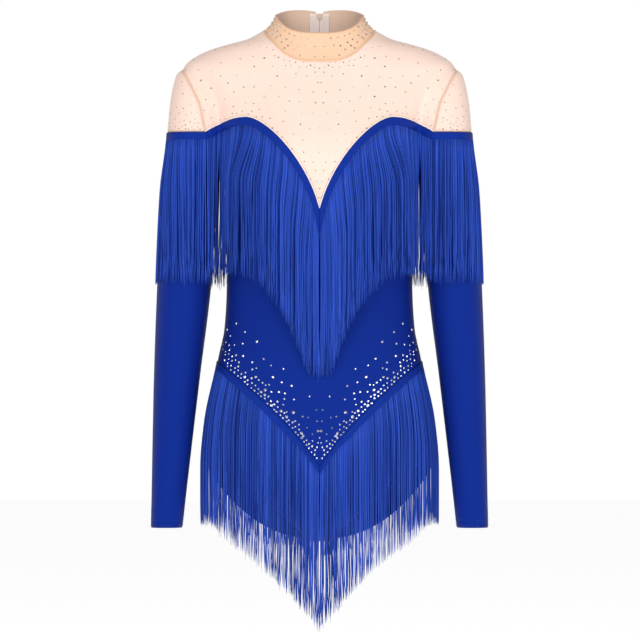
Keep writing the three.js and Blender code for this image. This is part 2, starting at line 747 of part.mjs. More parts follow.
const eyeHalf = lugInner - 0.35;
const eyeTop = pinZ + 1;
const neckLow = pinZ - 3;
const shoulderLow = pinZ - 7;
const tipMiddle = pinZ - pullLength + pullHalfWidth;
const pullShape = new THREE.Shape();
pullShape.moveTo(-eyeHalf, eyeTop);
pullShape.lineTo(-eyeHalf, neckLow);
pullShape.lineTo(-pullHalfWidth, shoulderLow);
pullShape.lineTo(-pullHalfWidth, tipMiddle);
pullShape.absarc(0, tipMiddle, pullHalfWidth, Math.PI, 2 * Math.PI, false);
pullShape.lineTo(pullHalfWidth, shoulderLow);
pullShape.lineTo(eyeHalf, neckLow);
pullShape.lineTo(eyeHalf, eyeTop);
const pullPlate = new THREE.ExtrudeGeometry(pullShape, {
  depth: pullThickness,
  bevelEnabled: false,
  curveSegments: 8,
});
pullPlate.rotateX(Math.PI / 2);
pullPlate.translate(0, pinHeight + pullThickness / 2, 0);
const pullPin = cylinderAcross(pinDiameter / 2, 2 * lugOuter - 0.2, pinHeight, pinZ);
addPart('zip_pull', leaned(toSolid(pullPlate).add(pullPin)), 'metal');

export default parts;
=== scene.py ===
import bpy
import bmesh
import math
import random
import numpy as np
from mathutils import Matrix, Vector
from mathutils.bvhtree import BVHTree
from mathutils.kdtree import KDTree


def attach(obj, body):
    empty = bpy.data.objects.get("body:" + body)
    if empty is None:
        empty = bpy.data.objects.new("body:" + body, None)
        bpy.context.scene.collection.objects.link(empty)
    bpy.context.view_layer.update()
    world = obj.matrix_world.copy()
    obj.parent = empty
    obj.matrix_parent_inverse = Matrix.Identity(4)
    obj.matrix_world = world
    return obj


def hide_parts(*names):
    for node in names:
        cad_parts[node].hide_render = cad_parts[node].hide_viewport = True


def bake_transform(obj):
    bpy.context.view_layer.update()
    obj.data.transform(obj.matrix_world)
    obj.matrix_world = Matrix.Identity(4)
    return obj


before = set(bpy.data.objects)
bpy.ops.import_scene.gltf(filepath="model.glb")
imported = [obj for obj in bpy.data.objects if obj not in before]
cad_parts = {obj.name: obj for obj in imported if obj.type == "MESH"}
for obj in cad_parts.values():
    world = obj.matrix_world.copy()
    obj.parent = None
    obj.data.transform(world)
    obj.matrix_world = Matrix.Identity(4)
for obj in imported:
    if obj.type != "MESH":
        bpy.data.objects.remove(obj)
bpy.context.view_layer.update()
mm = 0.001
sides = (("left", 1), ("right", -1))
print("frame loaded")


# values on a smooth line through the points, which never overshoots them
def smoothLine(points, at):
    xs = np.array([p[0] for p in points], float)
    ys = np.array([p[1] for p in points], float)
    step = np.diff(ys) / np.diff(xs)
    tangent = np.concatenate(([step[0]], np.zeros(len(xs) - 2), [step[-1]]))
    for i in range(1, len(xs) - 1):
        if step[i - 1] * step[i] > 0:
            tangent[i] = 2 * step[i - 1] * step[i] / (step[i - 1] + step[i])
    at = np.clip(np.asarray(at, float), xs[0], xs[-1])
    i = np.clip(np.searchsorted(xs, at, side="right") - 1, 0, len(xs) - 2)
    span = xs[i + 1] - xs[i]
    t = (at - xs[i]) / span
    start = (1 + 2 * t) * (1 - t) ** 2 * ys[i] + t * (1 - t) ** 2 * span * tangent[i]
    end = t * t * (3 - 2 * t) * ys[i + 1] + t * t * (t - 1) * span * tangent[i + 1]
    return start + end


def smoothAt(points, at):
    return float(smoothLine(points, at))


def bezierLine(a, b, c, d, count=60):
    t = np.linspace(0, 1, count)[:, None]
    a, b, c, d = (np.array(p, float) for p in (a, b, c, d))
    return (1 - t) ** 3 * a + 3 * t * (1 - t) ** 2 * b + 3 * t * t * (1 - t) * c + t ** 3 * d


# form of the worn garment in mm: drops are measured down from the neck, as in the frame
form = {
    "roundness": 2.3,
    "width": [(-12, 40), (-2.6, 70), (10, 93), (19, 128), (28, 152), (47, 175), (60, 165), (76, 154),
              (95, 143), (130, 131), (160, 124), (200, 121), (295, 119), (335, 119.5), (383, 122.5),
              (415, 129.5), (445, 135), (500, 146), (560, 151), (595, 150), (620, 137), (642, 100),
              (652, 50), (655, 4)],
    "front": [(-12, 32), (-2.6, 42), (10, 50), (28, 58), (38, 62), (60, 70), (100, 84), (165, 98),
              (235, 91), (335, 80), (420, 87), (520, 92), (560, 89), (615, 70), (640, 45), (652, 20),
              (655, 2)],
    "back": [(-12, 59), (310, 84.8), (345, 86.8), (410, 96), (490, 110), (530, 112), (600, 98), (635, 62),
             (652, 24), (655, 2)],
    "bust": {"out": 16, "across": 70, "drop": 172, "wide": 42, "tall": 50},
    "sleeveOuter": [(50, 182), (60, 185.5), (76, 189.5), (100, 193), (130, 195.5), (160, 197.5),
                    (200, 202.5), (321, 208.5), (445, 212.8), (636, 216.5), (660, 217)],
    "sleeveInner": [(50, 146), (60, 132), (76, 123), (100, 118), (130, 119), (160, 123), (200, 130),
                    (321, 138.5), (445, 153.5), (636, 175.5), (660, 178)],
    "sleeveDepth": [(50, 28), (60, 37), (76, 43), (100, 47), (130, 49), (160, 49), (200, 48), (321, 44.5),
                    (636, 25), (660, 24)],
    "forearmForward": [(321, 0), (636, 12), (660, 12.5)],
    "crotchDrop": 655,
    "sleeveEnd": 636,
    "zipEnd": 300,
    "neck": {"wide": 70, "front": 62, "back": 60, "squareness": 3.0, "reach": 60, "top": 5.5},
    "voxel": 0.003,
    "turns": 96,
}


def roundPower(value):
    return math.copysign(abs(value) ** (2 / form["roundness"]), value)


def bodyPlace(drop, turn):
    x = smoothAt(form["width"], drop) * roundPower(math.cos(turn))
    along = roundPower(math.sin(turn))
    if along < 0:
        bust = form["bust"]
        swell = bust["out"] * math.exp(-((abs(x) - bust["across"]) / bust["wide"]) ** 2)
        swell *= math.exp(-((drop - bust["drop"]) / bust["tall"]) ** 2)
        depth = smoothAt(form["front"], drop) + swell
    else:
        depth = smoothAt(form["back"], drop)
    return Vector((x, depth * along, -drop)) * mm


def sleevePlace(drop, turn):
    outer = smoothAt(form["sleeveOuter"], drop)
    inner = smoothAt(form["sleeveInner"], drop)
    x = (outer + inner) / 2 + (outer - inner) / 2 * roundPower(math.cos(turn))
    y = smoothAt(form["sleeveDepth"], drop) * roundPower(math.sin(turn))
    return Vector((x, y - smoothAt(form["forearmForward"], drop), -drop)) * mm


# a tube through rings placed by drop and turn, closed at both ends
def loftForm(bm, drops, place, turns):
    turnOf = bm.verts.layers.float.get("turn") or bm.verts.layers.float.new("turn")
    ring = bmesh.ops.create_circle(bm, cap_ends=False, radius=1, segments=turns)["verts"]
    for v in ring:
        v[turnOf] = math.atan2(v.co.y, v.co.x)
    edges = list({e for v in ring for e in v.link_edges})
    firstEdges = edges
    for i, drop in enumerate(drops):
        if i:
            grown = bmesh.ops.extrude_edge_only(bm, edges=edges)["geom"]
            ring = [g for g in grown if isinstance(g, bmesh.types.BMVert)]
            fresh = set(ring)
            edges = [g for g in grown if isinstance(g, bmesh.types.BMEdge) and set(g.verts) <= fresh]
        for v in ring:
            v.co = place(drop, v[turnOf])
    bmesh.ops.edgeloop_fill(bm, edges=firstEdges)
    bmesh.ops.edgeloop_fill(bm, edges=edges)


def meshObject(name, bm, smooth=True):
    mesh = bpy.data.meshes.new(name)
    for face in bm.faces:
        face.smooth = smooth
    bm.to_mesh(mesh)
    bm.free()
    piece = bpy.data.objects.new(name, mesh)
    bpy.context.scene.collection.objects.link(piece)
    return piece


def applied(piece):
    graph = bpy.context.evaluated_depsgraph_get()
    mesh = bpy.data.meshes.new_from_object(piece.evaluated_get(graph))
    old = piece.data
    piece.modifiers.clear()
    piece.data = mesh
    bpy.data.meshes.remove(old)
    mesh.name = piece.name
    return piece


# left half of the whole garment's surface, with a soft fold where sleeve and body meet
def wornForm():
    bm = bmesh.new()
    bodyDrops = [-30, -20, -12, -7, -2.6, 2, 6] + list(range(10, 640, 6)) + [640, 644, 648, 651, 653, 654.6]
    loftForm(bm, bodyDrops, bodyPlace, form["turns"])
    loftForm(bm, [51, 53, 56] + list(range(60, 660, 8)), sleevePlace, 64)
    bmesh.ops.recalc_face_normals(bm, faces=bm.faces[:])
    piece = meshObject("formSketch", bm)
    remesh = piece.modifiers.new("join", "REMESH")
    remesh.mode = "VOXEL"
    remesh.voxel_size = form["voxel"]
    applied(piece)
    bm = bmesh.new()
    bm.from_mesh(piece.data)
    bpy.data.objects.remove(piece)
    for _ in range(8):
        bmesh.ops.smooth_vert(bm, verts=bm.verts[:], factor=0.5, use_axis_x=True, use_axis_y=True,
                              use_axis_z=True)
    return bm


# cuts where the axis value passes level(x, y, z), which doesn't read that axis, and keeps one side
def trim(bm, axis, level, keep):
    i = "xyz".index(axis)
    co = np.array([v.co for v in bm.verts])
    for v, shift in zip(bm.verts, np.broadcast_to(level(*co.T), len(co))):
        v.co[i] -= shift
    geom = bm.verts[:] + bm.edges[:] + bm.faces[:]
    normal = Vector([float(k == i) for k in range(3)])
    bmesh.ops.bisect_plane(bm, geom=geom, dist=1e-7, plane_co=(0, 0, 0), plane_no=normal,
                           clear_outer=keep < 0, clear_inner=keep > 0)
    co = np.array([v.co for v in bm.verts])
    for v, shift in zip(bm.verts, np.broadcast_to(level(*co.T), len(co))):
        v.co[i] += shift
    loose = [v for v in bm.verts if not v.link_faces]
    bmesh.ops.delete(bm, geom=loose, context="VERTS")


# pattern lines, each a pair of arrays: distance from the middle and drop, in mm
pattern = {
    "tape": 10,
    "bust": np.vstack((bezierLine((165, 142), (128, 118), (112, 112), (97, 112)),
                       bezierLine((97, 112), (70, 108), (14, 170), (0, 229))[1:]))[::-1].T,
    "bustFringeEnd": [(0, 441), (10, 439), (31, 394), (58, 343), (87, 318), (120, 310), (146, 320)],
    "hipFront": bezierLine((160, 401), (98, 447), (38, 499), (0, 557))[::-1].T,
    "hipBack": bezierLine((160, 408), (110, 434), (50, 462), (0, 470))[::-1].T,
    "backChest": np.array([(0, 130), (200, 130)], float).T,
    "legFront": bezierLine((159, 530), (100, 575), (40, 620), (16, 652))[::-1].T,
    "legBack": bezierLine((159, 530), (128, 610), (70, 649), (16, 652))[::-1].T,
    "crotchHalf": 16,
    "armhole": [(17, 185), (47, 177), (68, 166), (94, 153.5), (130, 144.5), (158, 125), (176, 124),
                (205, 126), (321, 129), (430, 148), (520, 158), (590, 161), (900, 161)],
}


def dropAt(line, x):
    return float(np.interp(x, *line))


def lowered(line, width):
    xs = np.linspace(0, line[0][-1], 160)
    drops = np.interp(xs, *line)
    slope = np.gradient(drops, xs)
    return np.array((xs, drops + width * np.hypot(1, slope)))


def atLine(line):
    return lambda x, y, z: -np.interp(np.abs(x) / mm, *line) * mm


# the leg line, which leaves the strip between the legs whole
def atLeg(line):
    past = form["crotchDrop"] + 60
    half = pattern["crotchHalf"]
    return lambda x, y, z: -np.where(np.abs(x) / mm < half, past, np.interp(np.abs(x) / mm, *line)) * mm


def atArmhole(x, y, z):
    return smoothLine(pattern["armhole"], -z / mm) * mm


# the neck hole is an upright oval; lower down nothing is cut
def atNeck(x, y, z):
    neck = form["neck"]
    depth = np.where(y < 0, neck["front"], neck["back"])
    n = np.where(y < 0, neck["squareness"], form["roundness"])
    inside = np.maximum(0, 1 - np.abs(y / mm / depth) ** n) ** (1 / n)
    return np.where(z / mm > -neck["reach"], neck["wide"] * inside, -1) * mm


def flatLevel(value):
    return lambda x, y, z: np.full(len(x), value * mm)


def copyOf(bm, *trims):
    new = bm.copy()
    for cut in trims:
        trim(new, *cut)
    return new


def mirroredWhole(bm):
    geom = bm.verts[:] + bm.edges[:] + bm.faces[:]
    bmesh.ops.mirror(bm, geom=geom, matrix=Matrix.Identity(4), merge_dist=2e-5, axis="X")
    bmesh.ops.recalc_face_normals(bm, faces=bm.faces[:])
    return bm


# a copy for the wearer's left side, or mirrored for the right
def sideCopy(bm, way):
    new = bm.copy()
    if way < 0:
        bmesh.ops.transform(new, matrix=Matrix.Scale(-1, 4, (1, 0, 0)), verts=new.verts[:])
        bmesh.ops.reverse_faces(new, faces=new.faces[:])
    return new


def mirroredPoint(p):
    return Vector((-p.x, p.y, p.z))


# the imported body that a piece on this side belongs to
def bodyOn(body, side):
    return body + "_" + side if body == "sleeve" else body


# presses a groove along the open edges and marks how near each point is to one
def sewEdges(bm, reach=3.4, depth=0.5):
    near = bm.verts.layers.float.get("seam") or bm.verts.layers.float.new("seam")
    rim = [v for v in bm.verts if v.is_boundary]
    tree = KDTree(len(rim))
    for i, v in enumerate(rim):
        tree.insert(v.co, i)
    tree.balance()
    bm.normal_update()
    for v in bm.verts:
        v[near] = max(0.0, 1 - tree.find(v.co)[2] / mm / reach)
        v.co -= v.normal * (depth * mm * v[near] ** 2)


# u runs round the wearer and v runs up, both in metres of cloth
def mapCloth(bm, axisX, radius, back=False):
    uv = bm.loops.layers.uv.get("UVMap") or bm.loops.layers.uv.new("UVMap")
    facing = 1 if back else -1
    for face in bm.faces:
        turns = [math.atan2(v.co.x - axisX, facing * v.co.y) for v in face.verts]
        if max(turns) - min(turns) > math.pi:
            turns = [t + 2 * math.pi if t < 0 else t for t in turns]
        for loop, turn in zip(face.loops, turns):
            loop[uv].uv = (turn * radius, loop.vert.co.z)


def raised(bm, height):
    bm.normal_update()
    for v in bm.verts:
        v.co += v.normal * (height * mm)


def gridSheet(columns, rows, place):
    bm = bmesh.new()
    bmesh.ops.create_grid(bm, x_segments=columns, y_segments=rows, size=0.5)
    for v in bm.verts:
        v.co = place(v.co.x + 0.5, v.co.y + 0.5)
    return bm


def walled(piece, thick, outwards=-1):
    wall = piece.modifiers.new("wall", "SOLIDIFY")
    wall.thickness = thick * mm
    wall.offset = outwards
    return applied(piece)


# the shoulder of the sleeves: its place, the way out along the arm, and a bend's two ends in metres; no
# piece is bent at it
shoulder = {"place": (0.177, 0, -0.047), "outward": (0.908, 0, -0.418), "start": 0.006, "end": 0.075}


# gives a finished piece its finish, and its body unless it is a sleeve piece, whose transform is only baked
# in
def settle(piece, look, slot, body, *nodes):
    piece.data.materials.clear()
    piece.data.materials.append(looks[look])
    if body.startswith("sleeve"):
        place, outward = Vector(shoulder["place"]), Vector(shoulder["outward"])
        if body.endswith("right"):
            place, outward = mirroredPoint(place), mirroredPoint(outward)
        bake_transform(piece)
    else:
        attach(piece, body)
    if nodes:
        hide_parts(*nodes)


# body of the garment: half of the worn form, cut along the pattern lines
cloth = {"thick": 0.7, "torsoRadius": 0.12, "sleeveRadius": 0.04, "sleeveAxis": 0.165}
wholeHalf = copyOf(wornForm(), ("x", flatLevel(0), 1))
torsoHalf = copyOf(wholeHalf, ("x", atArmhole, -1))
neckTrims = (("x", atNeck, 1), ("z", flatLevel(form["neck"]["top"]), -1))
torsoFront = copyOf(torsoHalf, ("y", flatLevel(0), -1), *neckTrims)
torsoBack = copyOf(torsoHalf, ("y", flatLevel(0), 1), *neckTrims)
sleeveLeft = copyOf(wholeHalf, ("x", atArmhole, 1), ("z", flatLevel(-form["sleeveEnd"]), 1))
wholeTree = BVHTree.FromBMesh(wholeHalf)
torsoTree = BVHTree.FromBMesh(torsoHalf)
sleeveTree = BVHTree.FromBMesh(sleeveLeft)
print("worn form cut into halves")


def panelPiece(name, bm, look, slot, body, node, back=False):
    onSleeve = body.startswith("sleeve")
    axisX = 0
    if onSleeve:
        axisX = cloth["sleeveAxis"] if body.endswith("left") else -cloth["sleeveAxis"]
    mapCloth(bm, axisX, cloth["sleeveRadius"] if onSleeve else cloth["torsoRadius"], back)
    sewEdges(bm)
    piece = walled(meshObject(name, bm), cloth["thick"])
    settle(piece, look, slot, body, node)


def panelPair(name, bm, look, slot, body, node, back=False):
    for side, way in sides:
        panelPiece(name + side.title(), sideCopy(bm, way), look, slot, bodyOn(body, side),
                   node + "_" + side, back)
    bm.free()


# the back panels stop at the zip, and meet each other below it
def openedForZip(bm, slotHalf=4.8):
    def zipEdge(x, y, z):
        return np.where(-z / mm < form["zipEnd"] + 4, slotHalf * mm, 0)
    return copyOf(bm, ("x", zipEdge, 1))


def makePanels():
    yoke = mirroredWhole(copyOf(torsoFront, ("z", atLine(pattern["bust"]), 1)))
    panelPiece("yokeFrontMesh", yoke, "nudeMesh", "nude_mesh", "torso", "yoke_front")
    front = copyOf(torsoFront, ("z", atLine(pattern["bust"]), -1), ("z", atLeg(pattern["legFront"]), 1))
    panelPiece("frontBodyKnit", mirroredWhole(front), "blueKnit", "blue_knit", "torso", "front_body")
    yokeBack = openedForZip(copyOf(torsoBack, ("z", atLine(pattern["backChest"]), 1)))
    panelPair("yokeBackMesh", yokeBack, "nudeMesh", "nude_mesh", "torso", "yoke_back", True)
    back = copyOf(torsoBack, ("z", atLine(pattern["backChest"]), -1), ("z", atLeg(pattern["legBack"]), 1))
    panelPair("backBodyKnit", openedForZip(back), "blueKnit", "blue_knit", "torso", "back_body", True)
    chest = flatLevel(-pattern["backChest"][1][0])
    cap = copyOf(sleeveLeft, ("z", chest, 1))
    panelPair("sleeveCapMesh", cap, "nudeMesh", "nude_mesh", "sleeve", "sleeve_cap")
    arm = copyOf(sleeveLeft, ("z", chest, -1))
    panelPair("sleeveKnit", arm, "blueKnit", "blue_knit", "sleeve", "sleeve")
    print("cloth panels")


# header tapes of the fringe, laid on the cloth
tape = {"lift": 0.5, "thick": 0.8}


def tapePiece(name, bm, node, body):
    raised(bm, tape["lift"])
    for side, way in sides:
        half = sideCopy(bm, way)
        axisX = way * cloth["sleeveAxis"] if body == "sleeve" else 0
        mapCloth(half, axisX, cloth["sleeveRadius"] if body == "sleeve" else cloth["torsoRadius"])
        sewEdges(half, reach=1.6, depth=0.25)
        piece = walled(meshObject(name + side.title(), half), tape["thick"], 1)
        settle(piece, "fringeTape", "fringe_tape", bodyOn(body, side), node + "_" + side)
    bm.free()


def makeTapes():
    wide = pattern["tape"]
    for name, node, half, line in (
        ("bustTape", "bust_tape", torsoFront, "bust"),
        ("hipTapeFront", "hip_tape_front", torsoFront, "hipFront"),
        ("hipTapeBack", "hip_tape_back", torsoBack, "hipBack"),
        ("backTape", "back_tape", torsoBack, "backChest"),
    ):
        upper = atLine(pattern[line])
        lower = atLine(lowered(pattern[line], wide))
        band = copyOf(half, ("z", upper, -1), ("z", lower, 1))
        if line == "backChest":
            trim(band, "x", flatLevel(6), 1)
        tapePiece(name, band, node, "torso")
    top = -pattern["backChest"][1][0]
    band = copyOf(sleeveLeft, ("z", flatLevel(top), -1), ("z", flatLevel(top - wide), 1))
    tapePiece("sleeveTape", band, "sleeve_tape", "sleeve")
    print("header tapes")


# hanging fringe: every strand falls from its tape and is held off the cloth below it
fringe = {
    "strandRadius": 0.42,
    "spacing": {"bust": 0.62, "back": 0.9, "hip": 0.86, "sleeve": 0.64},
    "segments": 14,
    "bustLength": 187,
    "sleeveLength": 183,
    "hipLength": 202,
    "hipOverTape": 5,
    "startClear": 0.9,
    "clear": 1.2,
    "fluff": 1.3,
    "lengthSpread": 2.4,
    "frontInner": 0.9,
    "backInner": 7.0,
    "chestReach": 144.2,
    "hipReach": 160,
    "sleeveAxis": 160.5,
    "sleeveInner": 145.5,
    "seed": 11,
}


def evenStarts(points, spacing):
    points = np.array(points, float)
    gaps = np.linalg.norm(np.diff(points, axis=0), axis=1)
    far = np.concatenate(([0], np.cumsum(gaps)))
    at = np.arange(spacing / 2, far[-1], spacing)
    return [Vector([np.interp(a, far, points[:, k]) for k in range(3)]) for a in at]


# one strand's points: out is the way it is pushed off the form, side the way it can sway
def strandPath(start, out, side, length, tree, sway, lift):
    count = fringe["segments"]
    push = 0
    points = []
    for i in range(count + 1):
        share = i / count
        base = start + side * (sway(share) * mm) - Vector((0, 0, length * share * mm))
        probe = Vector((abs(base.x), base.y, base.z))
        probeOut = Vector((out.x if base.x >= 0 else -out.x, out.y, 0))
        hit = tree.ray_cast(probe + probeOut * 0.3, -probeOut, 0.34)[0]
        if hit:
            push = max(push, (hit - probe).dot(probeOut))
        eased = min(1, share * 6)
        away = fringe["startClear"] + (fringe["clear"] - fringe["startClear"] + lift) * eased
        points.append(base + out * (push + away * mm))
    return points


# round strands through lists of points, all as long; tip is the share of the radius left at the ends
def strandMesh(name, strands, shades, radius, tip=1.0, roundness=0):
    curve = bpy.data.curves.new(name, "CURVE")
    curve.dimensions = "3D"
    curve.bevel_depth = radius * mm
    curve.bevel_resolution = roundness
    for points in strands:
        spline = curve.splines.new("POLY")
        spline.points.add(len(points) - 1)
        for point, place in zip(spline.points, points):
            point.co = (*place, 1)
        spline.points[-1].radius = tip
    sketch = bpy.data.objects.new(name + "Sketch", curve)
    bpy.context.scene.collection.objects.link(sketch)
    graph = bpy.context.evaluated_depsgraph_get()
    mesh = bpy.data.meshes.new_from_object(sketch.evaluated_get(graph))
    bpy.data.objects.remove(sketch)
    bpy.data.curves.remove(curve)
    bm = bmesh.new()
    bm.from_mesh(mesh)
    bpy.data.meshes.remove(mesh)
    rings = len(strands[0])
    around = len(bm.verts) // (len(strands) * rings)
    bmesh.ops.holes_fill(bm, edges=[e for e in bm.edges if e.is_boundary], sides=around)
    shadeOf = bm.verts.layers.float.new("shade")
    alongOf = bm.verts.layers.float.new("along")
    for i, v in enumerate(bm.verts):
        strand, step = divmod(i // around, rings)
        v[shadeOf] = shades[strand]
        v[alongOf] = step / (rings - 1)
    return meshObject(name, bm)


# strands gather in small bunches that sway apart towards their ends
def curtain(name, row, tree, length, seed):
    draw = random.Random(seed)
    strands, shades = [], []
    starts, outs, aways, drifts, shorter = row
    i = 0
    while i < len(starts):
        folded = bump(abs(starts[i].x) / mm, 88, 13) if "bust" in name else 0
        size = draw.randint(2, 7) + int(5 * folded)
        bunch = range(i, min(i + size, len(starts)))
        i += size
        middle = starts[bunch[len(bunch) // 2]]
        swing = draw.gauss(0, 0.8)
        pull = draw.uniform(0.0, 0.16) + 0.5 * folded * draw.random()
        tone = draw.random()
        bunchLift = draw.random()
        for k in bunch:
            toMiddle = (middle - starts[k]).dot(aways[k]) / mm
            own = draw.gauss(0, 0.7)
            curl = draw.gauss(0, 1.2)
            phase = draw.uniform(0, 6.28)
            drift = drifts[k]

            def sway(t, toMiddle=toMiddle, own=own, curl=curl, phase=phase, drift=drift):
                fall = t * t * (3 - 2 * t)
                early = min(1, t * 2.6)
                bend = drift * early * early * (3 - 2 * early)
                wave = 0.45 * math.sin(phase + t * 11) * t + curl * max(0, t - 0.8) * 5
                return toMiddle * pull * fall + swing * fall + own * t + wave + bend
            span = length - shorter[k] + draw.gauss(0, 1) * fringe["lengthSpread"]
            if draw.random() < 0.05:
                span -= draw.uniform(3, 14)
            lift = fringe["fluff"] * (0.75 * draw.random() + 0.25 * bunchLift)
            strands.append(strandPath(starts[k], outs[k], aways[k], span, tree, sway, lift))
            shades.append(0.86 * draw.random() + 0.14 * tone)
    return strandMesh(name, strands, shades, fringe["strandRadius"], 0.35)


def frontPoint(tree, x, drop, way):
    hit = tree.ray_cast(Vector((x * mm, way * 0.3, -drop * mm)), Vector((0, -way, 0)), 0.31)[0]
    return hit if hit and hit.y * way > 0 else None


# the groups of points for the wearer's left side, or mirrored for the right
def turnedRow(way, *groups):
    return groups if way > 0 else [[mirroredPoint(v) for v in group] for group in groups]


# start points under a tape across the body, the way they are pushed, and the way they can sway
def bodyRow(line, way, tree, limit, radial, mirror, drift, shorten, spacing, innerX):
    lower = lowered(pattern[line], fringe["hipOverTape"] if radial else pattern["tape"] - 1)
    edge = []
    for x in np.arange(innerX, limit, 0.5):
        point = frontPoint(tree, x, dropAt(lower, x), way)
        if point:
            edge.append(point)
    if radial:
        last = edge[-1]
        side = tree.ray_cast(Vector((0.3, way * 1e-4, last.z)), Vector((-1, 0, 0)), 0.3)[0]
        edge += [last.lerp(side, t / 10) for t in range(1, 10)]
    starts = evenStarts(edge, spacing * mm)
    outs, aways = [], []
    for start in starts:
        out = Vector((start.x, start.y, 0)).normalized() if radial else Vector((0, way, 0))
        away = Vector((-out.y, out.x, 0)) * way * -1
        if away.x < 0:
            away = -away
        outs.append(out)
        aways.append(away)
    drifts = [drift(s.x / mm) for s in starts]
    trims = [shorten(s.x / mm, -s.z / mm) for s in starts]
    return *turnedRow(mirror, starts, outs, aways), drifts, trims


def bump(x, middle, width):
    return math.exp(-((x - middle) / width) ** 2)


# strands leave a slanting tape square to it, and slide off the bust to the side
def bustDrift(x):
    line = pattern["bust"]
    slope = (np.interp(x + 2, *line) - np.interp(max(x - 2, 0), *line)) / -4
    slant = max(0.0, slope / math.hypot(1, slope)) * (1 - math.exp(-x / 12))
    parting = 1.5 * math.copysign(bump(x, 128, 4), x - 128)
    return 7 * slant + 17 * bump(x, 91, 19) + parting


def sleeveRow(way):
    top = -(pattern["backChest"][1][0] + pattern["tape"] - 1) * mm
    axis = Vector((fringe["sleeveAxis"] * mm, 0, top))
    edge = []
    for turn in np.linspace(-math.pi, math.pi, 721):
        out = Vector((math.cos(turn), math.sin(turn), 0))
        hit = sleeveTree.ray_cast(axis + out * 0.2, -out, 0.2)[0]
        if hit and hit.x > fringe["sleeveInner"] * mm:
            edge.append(hit)
    starts = evenStarts(edge, fringe["spacing"]["sleeve"] * mm)
    outs, aways = [], []
    for start in starts:
        out = (start - axis).normalized()
        outs.append(Vector((out.x, out.y, 0)))
        aways.append(Vector((-out.y, out.x, 0)))
    level = [0.0] * len(starts)
    return *turnedRow(way, starts, outs, aways), level, level


def makeFringe():
    def none(x, drop=0):
        return 0.0

    def bustTrim(x, drop):
        return fringe["bustLength"] + drop - smoothAt(pattern["bustFringeEnd"], x + bustDrift(x))

    def hipTrim(x, drop):
        return 5 * bump(x, 0, 20) + 12 * bump(x, 128, 12)
    chest, hips = fringe["chestReach"], fringe["hipReach"]
    kinds = (
        ("bustFringe", "bust_fringe", "bust", -1, wholeTree, chest, bustDrift, bustTrim, "bust"),
        ("backFringe", "back_fringe", "backChest", 1, wholeTree, chest, none, none, "back"),
        ("hipFringeFront", "hip_fringe_front", "hipFront", -1, torsoTree, hips, none, hipTrim, "hip"),
        ("hipFringeBack", "hip_fringe_back", "hipBack", 1, torsoTree, hips, none, none, "hip"),
    )
    seed = fringe["seed"]
    for name, node, line, facing, tree, limit, drift, shorten, kind in kinds:
        for side, way in sides:
            seed += 1
            inner = fringe["backInner" if kind == "back" else "frontInner"]
            spacing = fringe["spacing"][kind]
            row = bodyRow(line, facing, tree, limit, kind == "hip", way, drift, shorten, spacing, inner)
            length = fringe["hipLength"] if kind == "hip" else fringe["bustLength"]
            piece = curtain(name + side.title(), row, tree, length, seed)
            settle(piece, "fringeYarn", "fringe_yarn", "torso", node + "_" + side)
    for side, way in sides:
        seed += 1
        piece = curtain("sleeveFringe" + side.title(), sleeveRow(way), sleeveTree,
                        fringe["sleeveLength"], seed)
        settle(piece, "fringeYarn", "fringe_yarn", "sleeve_" + side, "sleeve_fringe_" + side)
    print("fringe strands")


# finishes, each a node tree on one Principled shader
looks = {}


def newLook(name, **values):
    material = bpy.data.materials.new(name)
    material.use_nodes = True
    looks[name] = material
    shader = material.node_tree.nodes["Principled BSDF"]
    for key, value in values.items():
        shader.inputs[key].default_value = value
    return material.node_tree, shader


def node(tree, kind, **values):
    made = tree.nodes.new(kind)
    for key, value in values.items():
        if key in made.inputs:
            made.inputs[key].default_value = value
        else:
            setattr(made, key, value)
    return made


def wire(tree, *pairs):
    for (source, out), (target, to) in pairs:
        tree.links.new(source.outputs[out], target.inputs[to])


# value times by, plus a fixed or wired amount
def scaled(tree, by, plus=0.0, clamp=False):
    made = node(tree, "ShaderNodeMath", operation="MULTIPLY_ADD", use_clamp=clamp)
    made.inputs[1].default_value = by
    made.inputs[2].default_value = plus
    return made


def mixColours(tree, low, high):
    mix = node(tree, "ShaderNodeMix", data_type="RGBA")
    mix.inputs[6].default_value = (*low, 1)
    mix.inputs[7].default_value = (*high, 1)
    return mix
